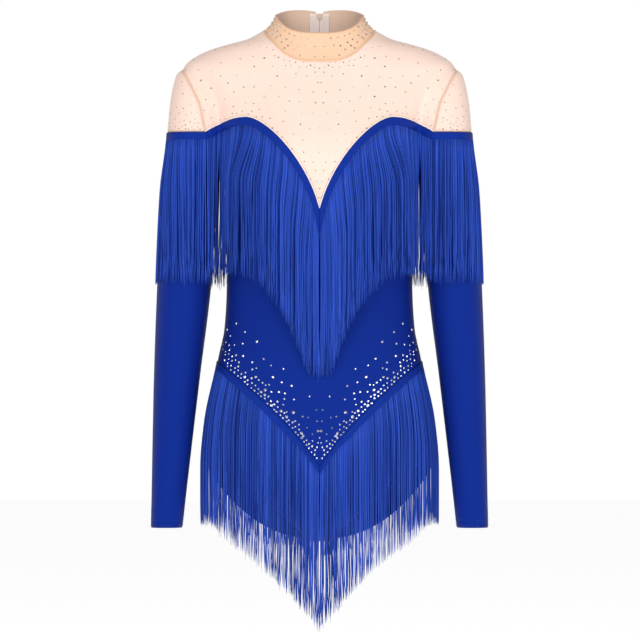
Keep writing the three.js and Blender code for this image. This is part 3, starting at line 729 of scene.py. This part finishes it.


# stretch knit: fine wales along the cloth, small tone changes, and painted shade that turns the colour
# darker where the cloth turns away from the view
def knitLook(name, deep, bright, glow, walesPerMm, sheen, roughness):
    tree, shader = newLook(name, **{"Sheen Weight": sheen, "Sheen Roughness": 0.45,
                                    "Sheen Tint": (*glow, 1), "Specular Tint": (*glow, 1),
                                    "Specular IOR Level": 0.2, "Roughness": roughness})
    cloth = node(tree, "ShaderNodeUVMap", uv_map="UVMap")
    wales = node(tree, "ShaderNodeTexWave", wave_type="BANDS", bands_direction="X",
                 Scale=walesPerMm * 1000 / 6.2832 * 2, Distortion=0.6, Detail=1.0)
    courses = node(tree, "ShaderNodeTexWave", wave_type="BANDS", bands_direction="Y",
                   Scale=walesPerMm * 1400 / 6.2832 * 2, Distortion=0.8, Detail=1.0)
    weave = node(tree, "ShaderNodeMath", operation="MULTIPLY")
    bumpy = node(tree, "ShaderNodeBump", Strength=0.25, Distance=0.0002)
    place = node(tree, "ShaderNodeTexCoord")
    cloud = node(tree, "ShaderNodeTexNoise", Scale=28.0, Detail=3.0, Roughness=0.55)
    # painted shade: the facing weight drives the colour to the deep tone towards the edges seen from the
    # camera
    facing = node(tree, "ShaderNodeLayerWeight", Blend=0.35)
    turn = node(tree, "ShaderNodeMapRange",
                **{"From Min": 0.25, "From Max": 0.95, "To Min": 1, "To Max": 0})
    seam = node(tree, "ShaderNodeAttribute", attribute_name="seam")
    # the cloud's random tone, added onto the painted shade factor
    tone = scaled(tree, 0.22)
    less = scaled(tree, -0.45, clamp=True)
    mix = mixColours(tree, deep, bright)
    wire(tree, ((cloth, "UV"), (wales, "Vector")), ((cloth, "UV"), (courses, "Vector")),
         ((wales, "Fac"), (weave, 0)), ((courses, "Fac"), (weave, 1)), ((weave, 0), (bumpy, "Height")),
         ((place, "Object"), (cloud, "Vector")), ((facing, "Facing"), (turn, "Value")),
         ((cloud, "Fac"), (tone, 0)), ((turn, "Result"), (tone, 2)), ((seam, "Fac"), (less, 0)),
         ((tone, 0), (less, 2)), ((less, 0), (mix, 0)), ((mix, 2), (shader, "Base Color")),
         ((bumpy, "Normal"), (shader, "Normal")))


# sheer stretch mesh: a fine net of holes over a lighter ground
def meshLook(name, thread, ground, cellMm):
    tree, shader = newLook(name, **{"Roughness": 0.7, "Sheen Weight": 0.15, "Sheen Roughness": 0.5,
                                    "Specular IOR Level": 0.25})
    cloth = node(tree, "ShaderNodeUVMap", uv_map="UVMap")
    net = node(tree, "ShaderNodeTexVoronoi", Scale=1000 / cellMm, Randomness=0.35)
    grade = node(tree, "ShaderNodeMapRange", **{"From Min": 0.1, "From Max": 0.55})
    place = node(tree, "ShaderNodeTexCoord")
    cloud = node(tree, "ShaderNodeTexNoise", Scale=14.0, Detail=2.0)
    seam = node(tree, "ShaderNodeAttribute", attribute_name="seam")
    darker = scaled(tree, 1.0, clamp=True)
    soft = scaled(tree, 0.5, -0.1)
    mix = mixColours(tree, ground, thread)
    bumpy = node(tree, "ShaderNodeBump", Strength=0.2, Distance=0.0002)
    cells = scaled(tree, 0.35)
    wire(tree, ((cloth, "UV"), (net, "Vector")), ((net, "Distance"), (grade, "Value")),
         ((place, "Object"), (cloud, "Vector")), ((cloud, "Fac"), (soft, 0)),
         ((grade, "Result"), (cells, 0)), ((soft, 0), (cells, 2)),
         ((seam, "Fac"), (darker, 0)), ((cells, 0), (darker, 2)), ((darker, 0), (mix, 0)),
         ((mix, 2), (shader, "Base Color")), ((grade, "Result"), (bumpy, "Height")),
         ((bumpy, "Normal"), (shader, "Normal")))


# twisted rayon yarn: each strand has its own tone, with a fine twist along it
def yarnLook(name, deep, bright, glow):
    tree, shader = newLook(name, **{"Roughness": 0.38, "Specular IOR Level": 0.3, "Sheen Weight": 0.08,
                                    "Sheen Roughness": 0.35, "Sheen Tint": (*glow, 1),
                                    "Specular Tint": (*glow, 1)})
    shade = node(tree, "ShaderNodeAttribute", attribute_name="shade")
    along = node(tree, "ShaderNodeAttribute", attribute_name="along")
    turns = node(tree, "ShaderNodeMath", operation="MULTIPLY")
    turns.inputs[1].default_value = 480.0
    twist = node(tree, "ShaderNodeMath", operation="SINE")
    tone = scaled(tree, 0.07, clamp=True)
    mix = mixColours(tree, deep, bright)
    bumpy = node(tree, "ShaderNodeBump", Strength=0.3, Distance=0.0002)
    wire(tree, ((along, "Fac"), (turns, 0)), ((turns, 0), (twist, 0)), ((twist, 0), (tone, 0)),
         ((shade, "Fac"), (tone, 2)), ((tone, 0), (mix, 0)), ((mix, 2), (shader, "Base Color")),
         ((twist, 0), (bumpy, "Height")), ((bumpy, "Normal"), (shader, "Normal")))


def metalLook(name, colour, roughness, scratch):
    tree, shader = newLook(name, **{"Metallic": 1.0, "Base Color": (*colour, 1)})
    place = node(tree, "ShaderNodeTexCoord")
    grain = node(tree, "ShaderNodeTexNoise", Scale=scratch, Detail=4.0)
    spread = node(tree, "ShaderNodeMapRange", **{"To Min": roughness * 0.7, "To Max": roughness * 1.4})
    wire(tree, ((place, "Object"), (grain, "Vector")), ((grain, "Fac"), (spread, "Value")),
         ((spread, "Result"), (shader, "Roughness")))


def makeLooks():
    glow = (0.12, 0.3, 1.0)
    knitLook("blueKnit", (0.002, 0.008, 0.085), (0.0045, 0.0205, 0.225), glow, 1.6, 0.03, 0.5)
    knitLook("fringeTape", (0.003, 0.011, 0.12), (0.0055, 0.025, 0.25), glow, 0.9, 0.03, 0.5)
    knitLook("legElastic", (0.002, 0.006, 0.06), (0.004, 0.02, 0.2), glow, 0.7, 0.02, 0.7)
    meshLook("nudeMesh", (0.76, 0.52, 0.41), (0.93, 0.73, 0.64), 0.9)
    meshLook("edgeMesh", (0.90, 0.76, 0.72), (0.97, 0.88, 0.85), 0.9)
    meshLook("collarKnit", (0.72, 0.44, 0.28), (0.86, 0.58, 0.39), 0.7)
    meshLook("liningKnit", (0.80, 0.56, 0.42), (0.95, 0.71, 0.55), 0.7)
    knitLook("zipTapeCloth", (0.76, 0.60, 0.55), (0.95, 0.82, 0.77), (1, 0.9, 0.85), 1.1, 0.05, 0.7)
    yarnLook("fringeYarn", (0.003, 0.011, 0.12), (0.042, 0.115, 0.68), glow)
    metalLook("zipMetal", (0.72, 0.71, 0.7), 0.25, 900.0)
    metalLook("stoneClear", (0.86, 0.88, 0.92), 0.09, 3000.0)
    metalLook("stoneSmoke", (0.42, 0.40, 0.40), 0.13, 3000.0)
    tree, shader = newLook("coilNylon", Roughness=0.35)
    place = node(tree, "ShaderNodeTexCoord")
    cloud = node(tree, "ShaderNodeTexNoise", Scale=600.0, Detail=2.0)
    mix = mixColours(tree, (0.62, 0.46, 0.38), (0.78, 0.64, 0.56))
    wire(tree, ((place, "Object"), (cloud, "Vector")), ((cloud, "Fac"), (mix, 0)),
         ((mix, 2), (shader, "Base Color")))
    print("finishes")


# rhinestones: flat-backed, cut to a small table, pressed on the cloth
def addStone(bm, place, normal, radius, spin):
    turn = normal.to_track_quat("Z", "Y").to_matrix().to_4x4() @ Matrix.Rotation(spin, 4, "Z")
    matrix = Matrix.Translation(place + normal * (radius * 0.22 * mm)) @ turn
    bmesh.ops.create_cone(bm, cap_ends=True, segments=8, radius1=radius * mm, radius2=radius * 0.52 * mm,
                          depth=radius * 0.5 * mm, matrix=matrix)


def stonePiece(name, places, look, body, lift=0.0):
    bm = bmesh.new()
    draw = random.Random(len(places))
    for place, normal, radius in places:
        addStone(bm, place + normal * lift * mm, normal, radius, draw.uniform(0, 0.8))
    piece = meshObject(name, bm, smooth=False)
    settle(piece, look, "rhinestone", body)


def onForm(tree, x, drop, way=-1):
    origin = Vector((abs(x) * mm, way * 0.3, -drop * mm))
    place, normal = tree.ray_cast(origin, Vector((0, -way, 0)), 0.31)[:2]
    if place is None or place.y * way < 0:
        return None
    if x < 0:
        place.x, normal.x = -place.x, -normal.x
    return place, normal


# keeps points at least their own gap apart
def scattered(draw, count, pick, gapAt):
    kept = []
    for _ in range(count * stones["tries"]):
        x, drop = pick(draw)
        gap = gapAt(x, drop)
        if gap and all(math.hypot(x - a, drop - b) > max(gap, other) * 0.9 for a, b, other in kept):
            kept.append((x, drop, gap))
        if len(kept) >= count:
            break
    return kept


# radii, pitches and reaches in mm; collar rows give the share of the height, the first place, the step
# to the next and the most places, with places counted in collar steps from the middle
stones = {
    "tries": 14,
    "hipRadius": (1.15, 1.6),
    "hipAcross": 124,
    "hipPitch": 5.7,
    "hipCount": 110,
    "hipReach": 44,
    "meshRadius": (0.72, 1.02),
    "bigShare": 0.2,
    "yokeCount": 420,
    "capCount": 62,
    "collarStep": 9.3,
    "collarEnd": 8,
    "collarRows": [(0.78, 1.65, 1, 99), (0.52, 0.6, 1, 1), (0.52, 1.95, 1, 99), (0.30, 3.4, 1, 99),
                   (0.17, 0.5, 2, 99)],
    "collarRadius": (1.0, 1.45),
    "seed": 5,
}


def hipStones():
    draw = random.Random(stones["seed"])
    line = pattern["hipFront"]
    edge = np.linspace(0, stones["hipAcross"], 400)
    steps = np.hypot(np.diff(edge), np.diff(np.interp(edge, *line)))
    travel = np.concatenate(([0], np.cumsum(steps)))
    places = []
    for row in range(6):
        for k in range(int(travel[-1] / stones["hipPitch"])):
            along = (k + 0.5 * (row % 2)) * stones["hipPitch"] + 2.2 * row
            x = float(np.interp(along, travel, edge))
            slope = (np.interp(x + 1, *line) - np.interp(x - 1, *line)) / 2
            above = (3.0 + 4.6 * row) * math.hypot(1, slope)
            crowd = max(bump(x, 122, 26), 0.8 * bump(x, 0, 12), 0.45)
            if row > 1 and draw.random() > crowd * (1.15 - 0.12 * row):
                continue
            drop = dropAt(line, x) - above
            places.append((x + draw.gauss(0, 0.45), drop + draw.gauss(0, 0.5)))

    def pick(d):
        x = d.uniform(0, stones["hipAcross"])
        up = 16 + stones["hipReach"] * d.random() ** 1.3
        return x, dropAt(line, x) - up * 1.2

    def gapAt(x, drop):
        up = dropAt(line, x) - drop
        side = bump(x, 122, 22) + bump(x, 0, 9)
        return max(5.2, 4.4 + up * 0.17 - 4.0 * side)
    scatter = scattered(draw, stones["hipCount"], pick, gapAt)
    for x, drop, gap in scatter:
        if all(math.hypot(x - a, drop - b) > gap * 0.8 for a, b in places):
            places.append((x, drop))
    places = [(0 if abs(x) < 2 else abs(x), drop) for x, drop in places]
    places = [p for i, p in enumerate(places)
              if all(math.hypot(p[0] - a, p[1] - b) > 3.4 for a, b in places[:i])]
    put = []
    for x, drop in places:
        radius = draw.uniform(*stones["hipRadius"]) * (1.45 if draw.random() < 0.12 else 1)
        for way in (1, -1) if x else (1,):
            found = onForm(torsoTree, way * x, drop)
            if found:
                put.append((*found, radius))
    stonePiece("hipStones", put, "stoneClear", "torso", 0.1)


def meshStones():
    draw = random.Random(stones["seed"] + 1)
    line = pattern["bust"]

    def armholeAt(drop):
        return smoothAt(pattern["armhole"], drop)

    def pickYoke(d):
        x = d.uniform(0, 172)
        return x, d.uniform(18, 228)

    def gapYoke(x, drop):
        if x > armholeAt(drop) - 4 or drop > np.interp(x, *line) - 3.4:
            return 0
        neckline = 38 * (1 - min(1, (x / 70) ** 2)) ** 0.5 if x < 70 else -2
        if drop < neckline + 5 or drop < 0.28 * (x - 70) + 4:
            return 0
        edge = dropAt(line, x) - drop
        band = bump(edge, 4, 15) * (0.35 + 0.65 * bump(x, 92, 50))
        arc = bump(drop - neckline, 12, 11) * (1 if x < 95 else bump(x, 95, 25))
        return 14 - 9.4 * band - 8.8 * min(1, arc) - 4.5 * bump(x, 0, 16) * bump(drop, 200, 40)
    put = []
    for x, drop, _ in scattered(draw, stones["yokeCount"], pickYoke, gapYoke):
        radius = draw.uniform(*stones["meshRadius"]) * (1.45 if draw.random() < stones["bigShare"] else 1)
        for way in (1, -1):
            found = onForm(torsoTree, way * x, drop)
            if found:
                put.append((*found, radius))
    stonePiece("yokeStones", put, "stoneSmoke", "torso", 0.1)

    def pickCap(d):
        return d.uniform(130, 194), d.uniform(60, 127)

    def gapCap(x, drop):
        if x < armholeAt(drop) + 5:
            return 0
        return 4.0 + 17 * (1 - min(1, (drop - 50) / 74)) ** 1.2
    for side, way in sides:
        caps = []
        for x, drop, _ in scattered(draw, stones["capCount"], pickCap, gapCap):
            found = onForm(sleeveTree, way * x, drop)
            if found:
                caps.append((*found, draw.uniform(*stones["meshRadius"])))
        stonePiece("capStones" + side.title(), caps, "stoneSmoke", "sleeve_" + side, 0.1)
    print("rhinestones")


# mock-neck collar in two plies, open at the back for the zip
collar = {
    "opening": 5.0,
    "rimWide": 57,
    "rimFront": 56,
    "rimBack": 57.8,
    "rimSide": 22,
    "rimDip": 25.2,
    "rimRise": 8.8,
    "zipDip": 2.4,
    "flare": 1.6,
    "cover": 1.1,
    "ply": 0.7,
    "liningGap": 1.7,
    "columns": 140,
    "rows": 16,
}


# share runs up from the seam; inset moves the ply in towards the neck
def collarPlace(turn, share, inset=0.0):
    neck = form["neck"]
    n = neck["squareness"] if math.sin(turn) < 0 else form["roundness"]
    across = math.copysign(abs(math.cos(turn)) ** (2 / n), math.cos(turn))
    along = math.copysign(abs(math.sin(turn)) ** (2 / n), math.sin(turn))
    front = along < 0
    baseDepth = neck["front"] if front else neck["back"]
    rimDepth = collar["rimFront"] if front else collar["rimBack"]
    widen = (1 - share) ** collar["flare"]
    cover = collar["cover"] * (1 - share) ** 4
    wide = collar["rimWide"] + (neck["wide"] - collar["rimWide"]) * widen + cover - inset
    depth = rimDepth + (baseDepth - rimDepth) * widen + cover - inset
    foot = Vector((abs(across) * (neck["wide"] + 0.6), along * (baseDepth + 0.6), 100)) * mm
    seat = wholeTree.ray_cast(foot, Vector((0, 0, -1)), 0.2)[0]
    base = seat.z / mm - 0.8 if seat else -38.0
    if front:
        rim = collar["rimSide"] - collar["rimDip"] * along ** 2
    else:
        rim = collar["rimSide"] + collar["rimRise"] * (1 - (1 - along ** 2) ** 2)
        rim -= collar["zipDip"] * bump(wide * across, 0, 13)
    return Vector((wide * across, depth * along, base + (rim - base) * share)) * mm


def collarTurn(u):
    opening = (collar["opening"] / collar["rimWide"]) ** (form["roundness"] / 2)
    return math.pi / 2 + opening + u * 2 * (math.pi - opening)


def makeCollar():
    for name, node, inset, look, slot in (
        ("collarOuter", "collar_outer", 0.0, "collarKnit", "collar_knit"),
        ("collarLining", "collar_lining", collar["liningGap"], "liningKnit", "lining_knit"),
    ):
        def place(u, v, inset=inset):
            return collarPlace(collarTurn(u), v - 0.02 * (inset > 0), inset)
        bm = gridSheet(collar["columns"], collar["rows"], place)
        bmesh.ops.recalc_face_normals(bm, faces=bm.faces[:])
        if sum(f.normal.dot(Vector((f.calc_center_median().x, f.calc_center_median().y, 0)))
               for f in bm.faces) < 0:
            bmesh.ops.reverse_faces(bm, faces=bm.faces[:])
        mapCloth(bm, 0, 0.06)
        sewEdges(bm, reach=2.4, depth=0.25)
        piece = walled(meshObject(name, bm), collar["ply"])
        settle(piece, look, slot, "torso", node)
    seam = []
    for u in np.linspace(0, 1, 221):
        place = collarPlace(collarTurn(u), 0.0)
        outward = Vector((place.x, place.y, 0)).normalized()
        seam.append(place + outward * (0.3 * mm) + Vector((0, 0, 0.9 * mm)))
    roll = strandMesh("neckSeamRoll", [seam], [0.5], 0.75, 1.0, 2)
    settle(roll, "collarKnit", "collar_knit", "torso")
    print("collar")


def collarStones():
    draw = random.Random(stones["seed"] + 2)
    turns = np.linspace(0, 2.8, 300)
    ring = [collarPlace(-math.pi / 2 + t, 0.5) for t in turns]
    far = np.concatenate(([0], np.cumsum([(b - a).length / mm for a, b in zip(ring, ring[1:])])))
    put = []
    for share, first, step, most in stones["collarRows"]:
        for k in range(most):
            along = (first + k * step) * stones["collarStep"]
            if along >= far[-1] - stones["collarEnd"]:
                break
            turn = float(np.interp(along + draw.gauss(0, 0.7), far, turns))
            height = share + draw.gauss(0, 0.025)
            radius = draw.uniform(*stones["collarRadius"])
            for way in (1, -1):
                at = -math.pi / 2 + way * turn
                place = collarPlace(at, height)
                beside = collarPlace(at + 0.02, height) - collarPlace(at - 0.02, height)
                upward = collarPlace(at, height + 0.05) - collarPlace(at, height - 0.05)
                put.append((place, beside.cross(upward).normalized(), radius))
    stonePiece("collarStones", put, "stoneSmoke", "torso", 0.1)


# back zip, drawn upright and then leaned along the back
zipper = {
    "lean": 0.08,
    "tapeWide": 12.5,
    "tapeDepth": -4.6,
    "tapeThick": 0.6,
    "top": 26,
    "bottom": -304.2,
    "rib": 2.4,
    "coilX": 1.2,
    "coilDepth": -3.0,
    "coilTop": 19.6,
    "coilBottom": -300,
    "coilWide": 0.82,
    "coilTall": 0.62,
    "pitch": 1.3,
    "pointsPerTurn": 10,
    "wire": 0.24,
    "edge": 0.16,
    "tabWide": 8.4,
    "tabBelow": 6.6,
    "tabLong": 7.2,
    "tabLift": 0.9,
}
zipLean = Matrix.Translation((0, 0.06, 0)) @ Matrix.Rotation(math.atan(zipper["lean"]), 4, "X")


def makeZipTape(side, way):
    def place(u, v):
        x = 0.2 + u * (zipper["tapeWide"] - 0.2)
        rib = 0.14 * math.cos(x * 2 * math.pi / zipper["rib"])
        z = zipper["bottom"] + v * (zipper["top"] - zipper["bottom"])
        return zipLean @ (Vector((way * x, zipper["tapeDepth"] - rib, z)) * mm)
    bm = gridSheet(24, 110, place)
    bmesh.ops.recalc_face_normals(bm, faces=bm.faces[:])
    if sum(f.normal.y for f in bm.faces) < 0:
        bmesh.ops.reverse_faces(bm, faces=bm.faces[:])
    mapCloth(bm, 0, 0.07, True)
    piece = walled(meshObject("zipTape" + side.title(), bm), zipper["tapeThick"], 0)
    settle(piece, "zipTapeCloth", "zip_tape_cloth", "torso", "zip_tape_" + side)


def makeCoil(side, way):
    path = []
    turns = (zipper["coilTop"] - zipper["coilBottom"]) / zipper["pitch"]
    start = 0 if way > 0 else math.pi
    for i in range(int(turns * zipper["pointsPerTurn"])):
        done = i / zipper["pointsPerTurn"]
        turn = done * 2 * math.pi + start
        x = zipper["coilX"] + zipper["coilWide"] * math.cos(turn)
        y = zipper["coilDepth"] + zipper["coilTall"] * math.sin(turn)
        z = zipper["coilBottom"] + 0.3 + done * zipper["pitch"]
        path.append(zipLean @ (Vector((way * x, y, min(z, zipper["coilTop"] - 0.2))) * mm))
    piece = strandMesh("zipCoil" + side.title(), [path], [0.5], zipper["wire"])
    settle(piece, "coilNylon", "zip_coil_nylon", "torso", "zip_coil_" + side)


# small tab folded over the top ends of both tapes
def makeZipTab():
    def place(u, v):
        narrow = 1 - 0.35 * (1 - v)
        x = (u - 0.5) * zipper["tabWide"] * narrow
        y = zipper["tapeDepth"] - zipper["tabLift"] - 0.35 * math.cos((u - 0.5) * math.pi)
        z = zipper["top"] - zipper["tabBelow"] + v * zipper["tabLong"]
        return zipLean @ (Vector((x, y, z)) * mm)
    bm = gridSheet(10, 8, place)
    mapCloth(bm, 0, 0.07, True)
    tab = walled(meshObject("zipTab", bm), 0.5, 0)
    settle(tab, "liningKnit", "lining_knit", "torso")


# a CAD fitting again, its copy merged and its edges rounded
def metalFitting(name, node, body):
    bm = bmesh.new()
    bm.from_mesh(bpy.data.objects[node].data)
    bmesh.ops.remove_doubles(bm, verts=bm.verts[:], dist=1e-6)
    bmesh.ops.dissolve_limit(bm, angle_limit=math.radians(1), verts=bm.verts[:], edges=bm.edges[:])
    sharp = [e for e in bm.edges if len(e.link_faces) == 2 and e.calc_face_angle(0) > math.radians(40)]
    bmesh.ops.bevel(bm, geom=sharp, offset=zipper["edge"] * mm, offset_type="OFFSET", segments=2,
                    profile=0.5, affect="EDGES", clamp_overlap=True, material=-1)
    piece = meshObject(name, bm, smooth=False)
    settle(piece, "zipMetal", "zip_metal", body, node)


def makeZip():
    for side, way in sides:
        makeZipTape(side, way)
        makeCoil(side, way)
        metalFitting("zipTopStop" + side.title(), "zip_top_stop_" + side, "torso")
    makeZipTab()
    metalFitting("zipBottomStop", "zip_bottom_stop", "torso")
    metalFitting("zipSlider", "zip_slider", "zip_slider")
    metalFitting("zipPull", "zip_pull", "zip_pull")
    print("zip")


# inside: an elastic round each leg opening and the gusset lining
inside = {"elasticWide": 8, "elasticDepth": -2.4, "elasticThick": 1.0, "gussetTop": 596,
          "gussetDepth": -4.1, "gussetThick": 0.8, "gussetInset": 4}


# level of either leg line, a distance up from it and in from it
def legLevel(up, inward, front="legFront", back="legBack"):
    lines = [np.array((line[0], line[1] - up * np.hypot(1, np.gradient(line[1], line[0]))))
             for line in (pattern[front], pattern[back])]
    past = form["crotchDrop"] + 60

    def level(x, y, z):
        wide = np.abs(x) / mm + inward
        drops = np.where(y < 0, np.interp(wide, *lines[0]), np.interp(wide, *lines[1]))
        return -np.where((wide < pattern["crotchHalf"]) & (up == 0), past, drops) * mm
    return level


def makeInside():
    wide = inside["elasticWide"]
    elastic = copyOf(torsoHalf, ("x", flatLevel(pattern["crotchHalf"] - wide), 1),
                     ("z", legLevel(wide, 0), -1), ("z", legLevel(0, 0), 1))
    raised(elastic, inside["elasticDepth"])
    for side, way in sides:
        half = sideCopy(elastic, way)
        mapCloth(half, 0, cloth["torsoRadius"])
        sewEdges(half, reach=1.2, depth=0.2)
        piece = walled(meshObject("legElastic" + side.title(), half), inside["elasticThick"])
        settle(piece, "legElastic", "leg_elastic", "torso", "leg_elastic_" + side)
    elastic.free()
    gusset = copyOf(torsoHalf, ("z", flatLevel(-inside["gussetTop"]), -1),
                    ("z", legLevel(0, inside["gussetInset"], back="legFront"), 1))
    mirroredWhole(gusset)
    raised(gusset, inside["gussetDepth"])
    mapCloth(gusset, 0, cloth["torsoRadius"])
    sewEdges(gusset, reach=2.0, depth=0.2)
    piece = walled(meshObject("crotchGusset", gusset), inside["gussetThick"])
    settle(piece, "liningKnit", "lining_knit", "torso", "crotch_gusset")
    print("elastics and gusset")


# topstitching of the cuffs and leg openings, in short threads that dip at both ends
stitch = {"long": 2.3, "step": 3.1, "radius": 0.2, "lift": 0.45, "cuffRows": (3.2, 10.2),
          "cuffAxis": (0.196, -0.012), "legRow": 6.5}


def stitchesAlong(points, tree):
    paths = []
    starts = evenStarts(points, stitch["step"] * mm)
    for a, b in zip(starts, starts[1:]):
        if (b - a).length > 2 * stitch["step"] * mm:
            continue
        ahead = (b - a).normalized() * (stitch["long"] * mm)
        normal = tree.find_nearest(Vector((abs(a.x), a.y, a.z)))[1]
        if a.x < 0:
            normal = mirroredPoint(normal)
        path = []
        for t, lift in ((0, 0.0), (0.25, 1.0), (0.75, 1.0), (1, 0.0)):
            path.append(a + ahead * t + normal * (stitch["lift"] * lift * mm))
        paths.append(path)
    return paths


def makeStitches():
    draw = random.Random(stones["seed"] + 3)
    for side, way in sides:
        paths = []
        for up in stitch["cuffRows"]:
            drop = form["sleeveEnd"] - up
            axis = Vector((*stitch["cuffAxis"], -drop * mm))
            ring = []
            for turn in np.linspace(-math.pi, math.pi, 181):
                out = Vector((math.cos(turn), math.sin(turn), 0))
                hit = sleeveTree.ray_cast(axis + out * 0.08, -out, 0.08)[0]
                if hit:
                    ring.append(Vector((hit.x * way, hit.y, hit.z)))
            paths += stitchesAlong(ring, sleeveTree)
        shades = [draw.random() for _ in paths]
        piece = strandMesh("cuffStitches" + side.title(), paths, shades, stitch["radius"])
        settle(piece, "fringeYarn", "blue_knit", "sleeve_" + side)
    paths = []
    for line, facing in (("legFront", -1), ("legBack", 1)):
        seamLine = lowered(pattern[line], -stitch["legRow"])
        row = []
        for x in np.arange(18, 150, 1.0):
            point = frontPoint(torsoTree, x, dropAt(seamLine, x), facing)
            if point:
                row.append(point)
        found = stitchesAlong(row, torsoTree)
        paths += found
        paths += [[mirroredPoint(p) for p in path] for path in found]
    piece = strandMesh("legStitches", paths, [draw.random() for _ in paths], stitch["radius"])
    settle(piece, "fringeYarn", "blue_knit", "torso")
    print("topstitching")


# the yoke's turned edge, which shows as a thin pale roll above the header tape
def makeEdgeRoll():
    line = pattern["bust"]
    edge = []
    for x in np.arange(0, 147, 1.0):
        point = frontPoint(wholeTree, x, dropAt(line, x) - 1.1, -1)
        if point:
            edge.append(point + Vector((0, -0.6 * mm, 0)))
    path = [mirroredPoint(p) for p in reversed(edge[1:])] + edge
    piece = strandMesh("sweetheartRoll", [path], [0.5], 0.7, 1.0, 2)
    settle(piece, "edgeMesh", "nude_mesh", "torso")


# camera, lights and floor in metres; each lamp has its place, size and power in watts
studio = {
    "cameraY": -8.0,
    "middle": (0.0006, -0.370),
    "frameWidth": 0.822,
    "sensor": 36,
    "skyLight": 0.42,
    "lamps": {
        "softFront": ((-0.7, -3.2, 1.0), 2.2, 50),
        "softFill": ((1.6, -2.6, 0.1), 1.6, 18),
        "softTop": ((0.0, -0.6, 2.4), 1.6, 9),
    },
    "aim": (0, 0, -0.35),
    "floor": -0.95,
    "floorSize": 12,
    "floorGlow": 0.58,
}


def makeStudio():
    scene = bpy.context.scene
    camera = bpy.data.objects.new("camera", bpy.data.cameras.new("camera"))
    scene.collection.objects.link(camera)
    camera.location = (studio["middle"][0], studio["cameraY"], studio["middle"][1])
    camera.rotation_euler = (math.pi / 2, 0, 0)
    camera.data.sensor_width = studio["sensor"]
    camera.data.lens = studio["sensor"] * -studio["cameraY"] / studio["frameWidth"]
    camera.data.clip_end = 40
    camera.data.dof.use_dof = False
    scene.camera = camera
    scene.view_settings.view_transform = "Standard"
    world = bpy.data.worlds.new("studio")
    world.use_nodes = True
    tree = world.node_tree
    sky = tree.nodes["Background"]
    sky.inputs["Color"].default_value = (1, 1, 1, 1)
    seen = node(tree, "ShaderNodeLightPath")
    strength = node(tree, "ShaderNodeMapRange", **{"To Min": studio["skyLight"], "To Max": 1.0})
    wire(tree, ((seen, "Is Camera Ray"), (strength, "Value")), ((strength, "Result"), (sky, "Strength")))
    scene.world = world
    for name, (place, size, power) in studio["lamps"].items():
        lamp = bpy.data.lights.new(name, "AREA")
        lamp.size = size
        lamp.energy = power
        light = bpy.data.objects.new(name, lamp)
        light.location = place
        aim = Vector(studio["aim"]) - Vector(place)
        light.rotation_euler = aim.to_track_quat("-Z", "Y").to_euler()
        scene.collection.objects.link(light)
    newLook("floorPaper", **{"Base Color": (0.9, 0.9, 0.9, 1), "Roughness": 0.9,
                             "Emission Color": (1, 1, 1, 1), "Emission Strength": studio["floorGlow"]})
    bm = bmesh.new()
    bmesh.ops.create_grid(bm, x_segments=4, y_segments=4, size=studio["floorSize"])
    bmesh.ops.translate(bm, verts=bm.verts[:], vec=(0, 0, studio["floor"]))
    floor = meshObject("floor", bm)
    floor.data.materials.append(looks["floorPaper"])
    print("studio")


def declareCloth():
    print("cloth not declared")


makeLooks()
makeStudio()
makePanels()
makeTapes()
makeFringe()
hipStones()
meshStones()
makeCollar()
collarStones()
makeZip()
makeInside()
makeStitches()
makeEdgeRoll()
declareCloth()

bpy.context.view_layer.update()
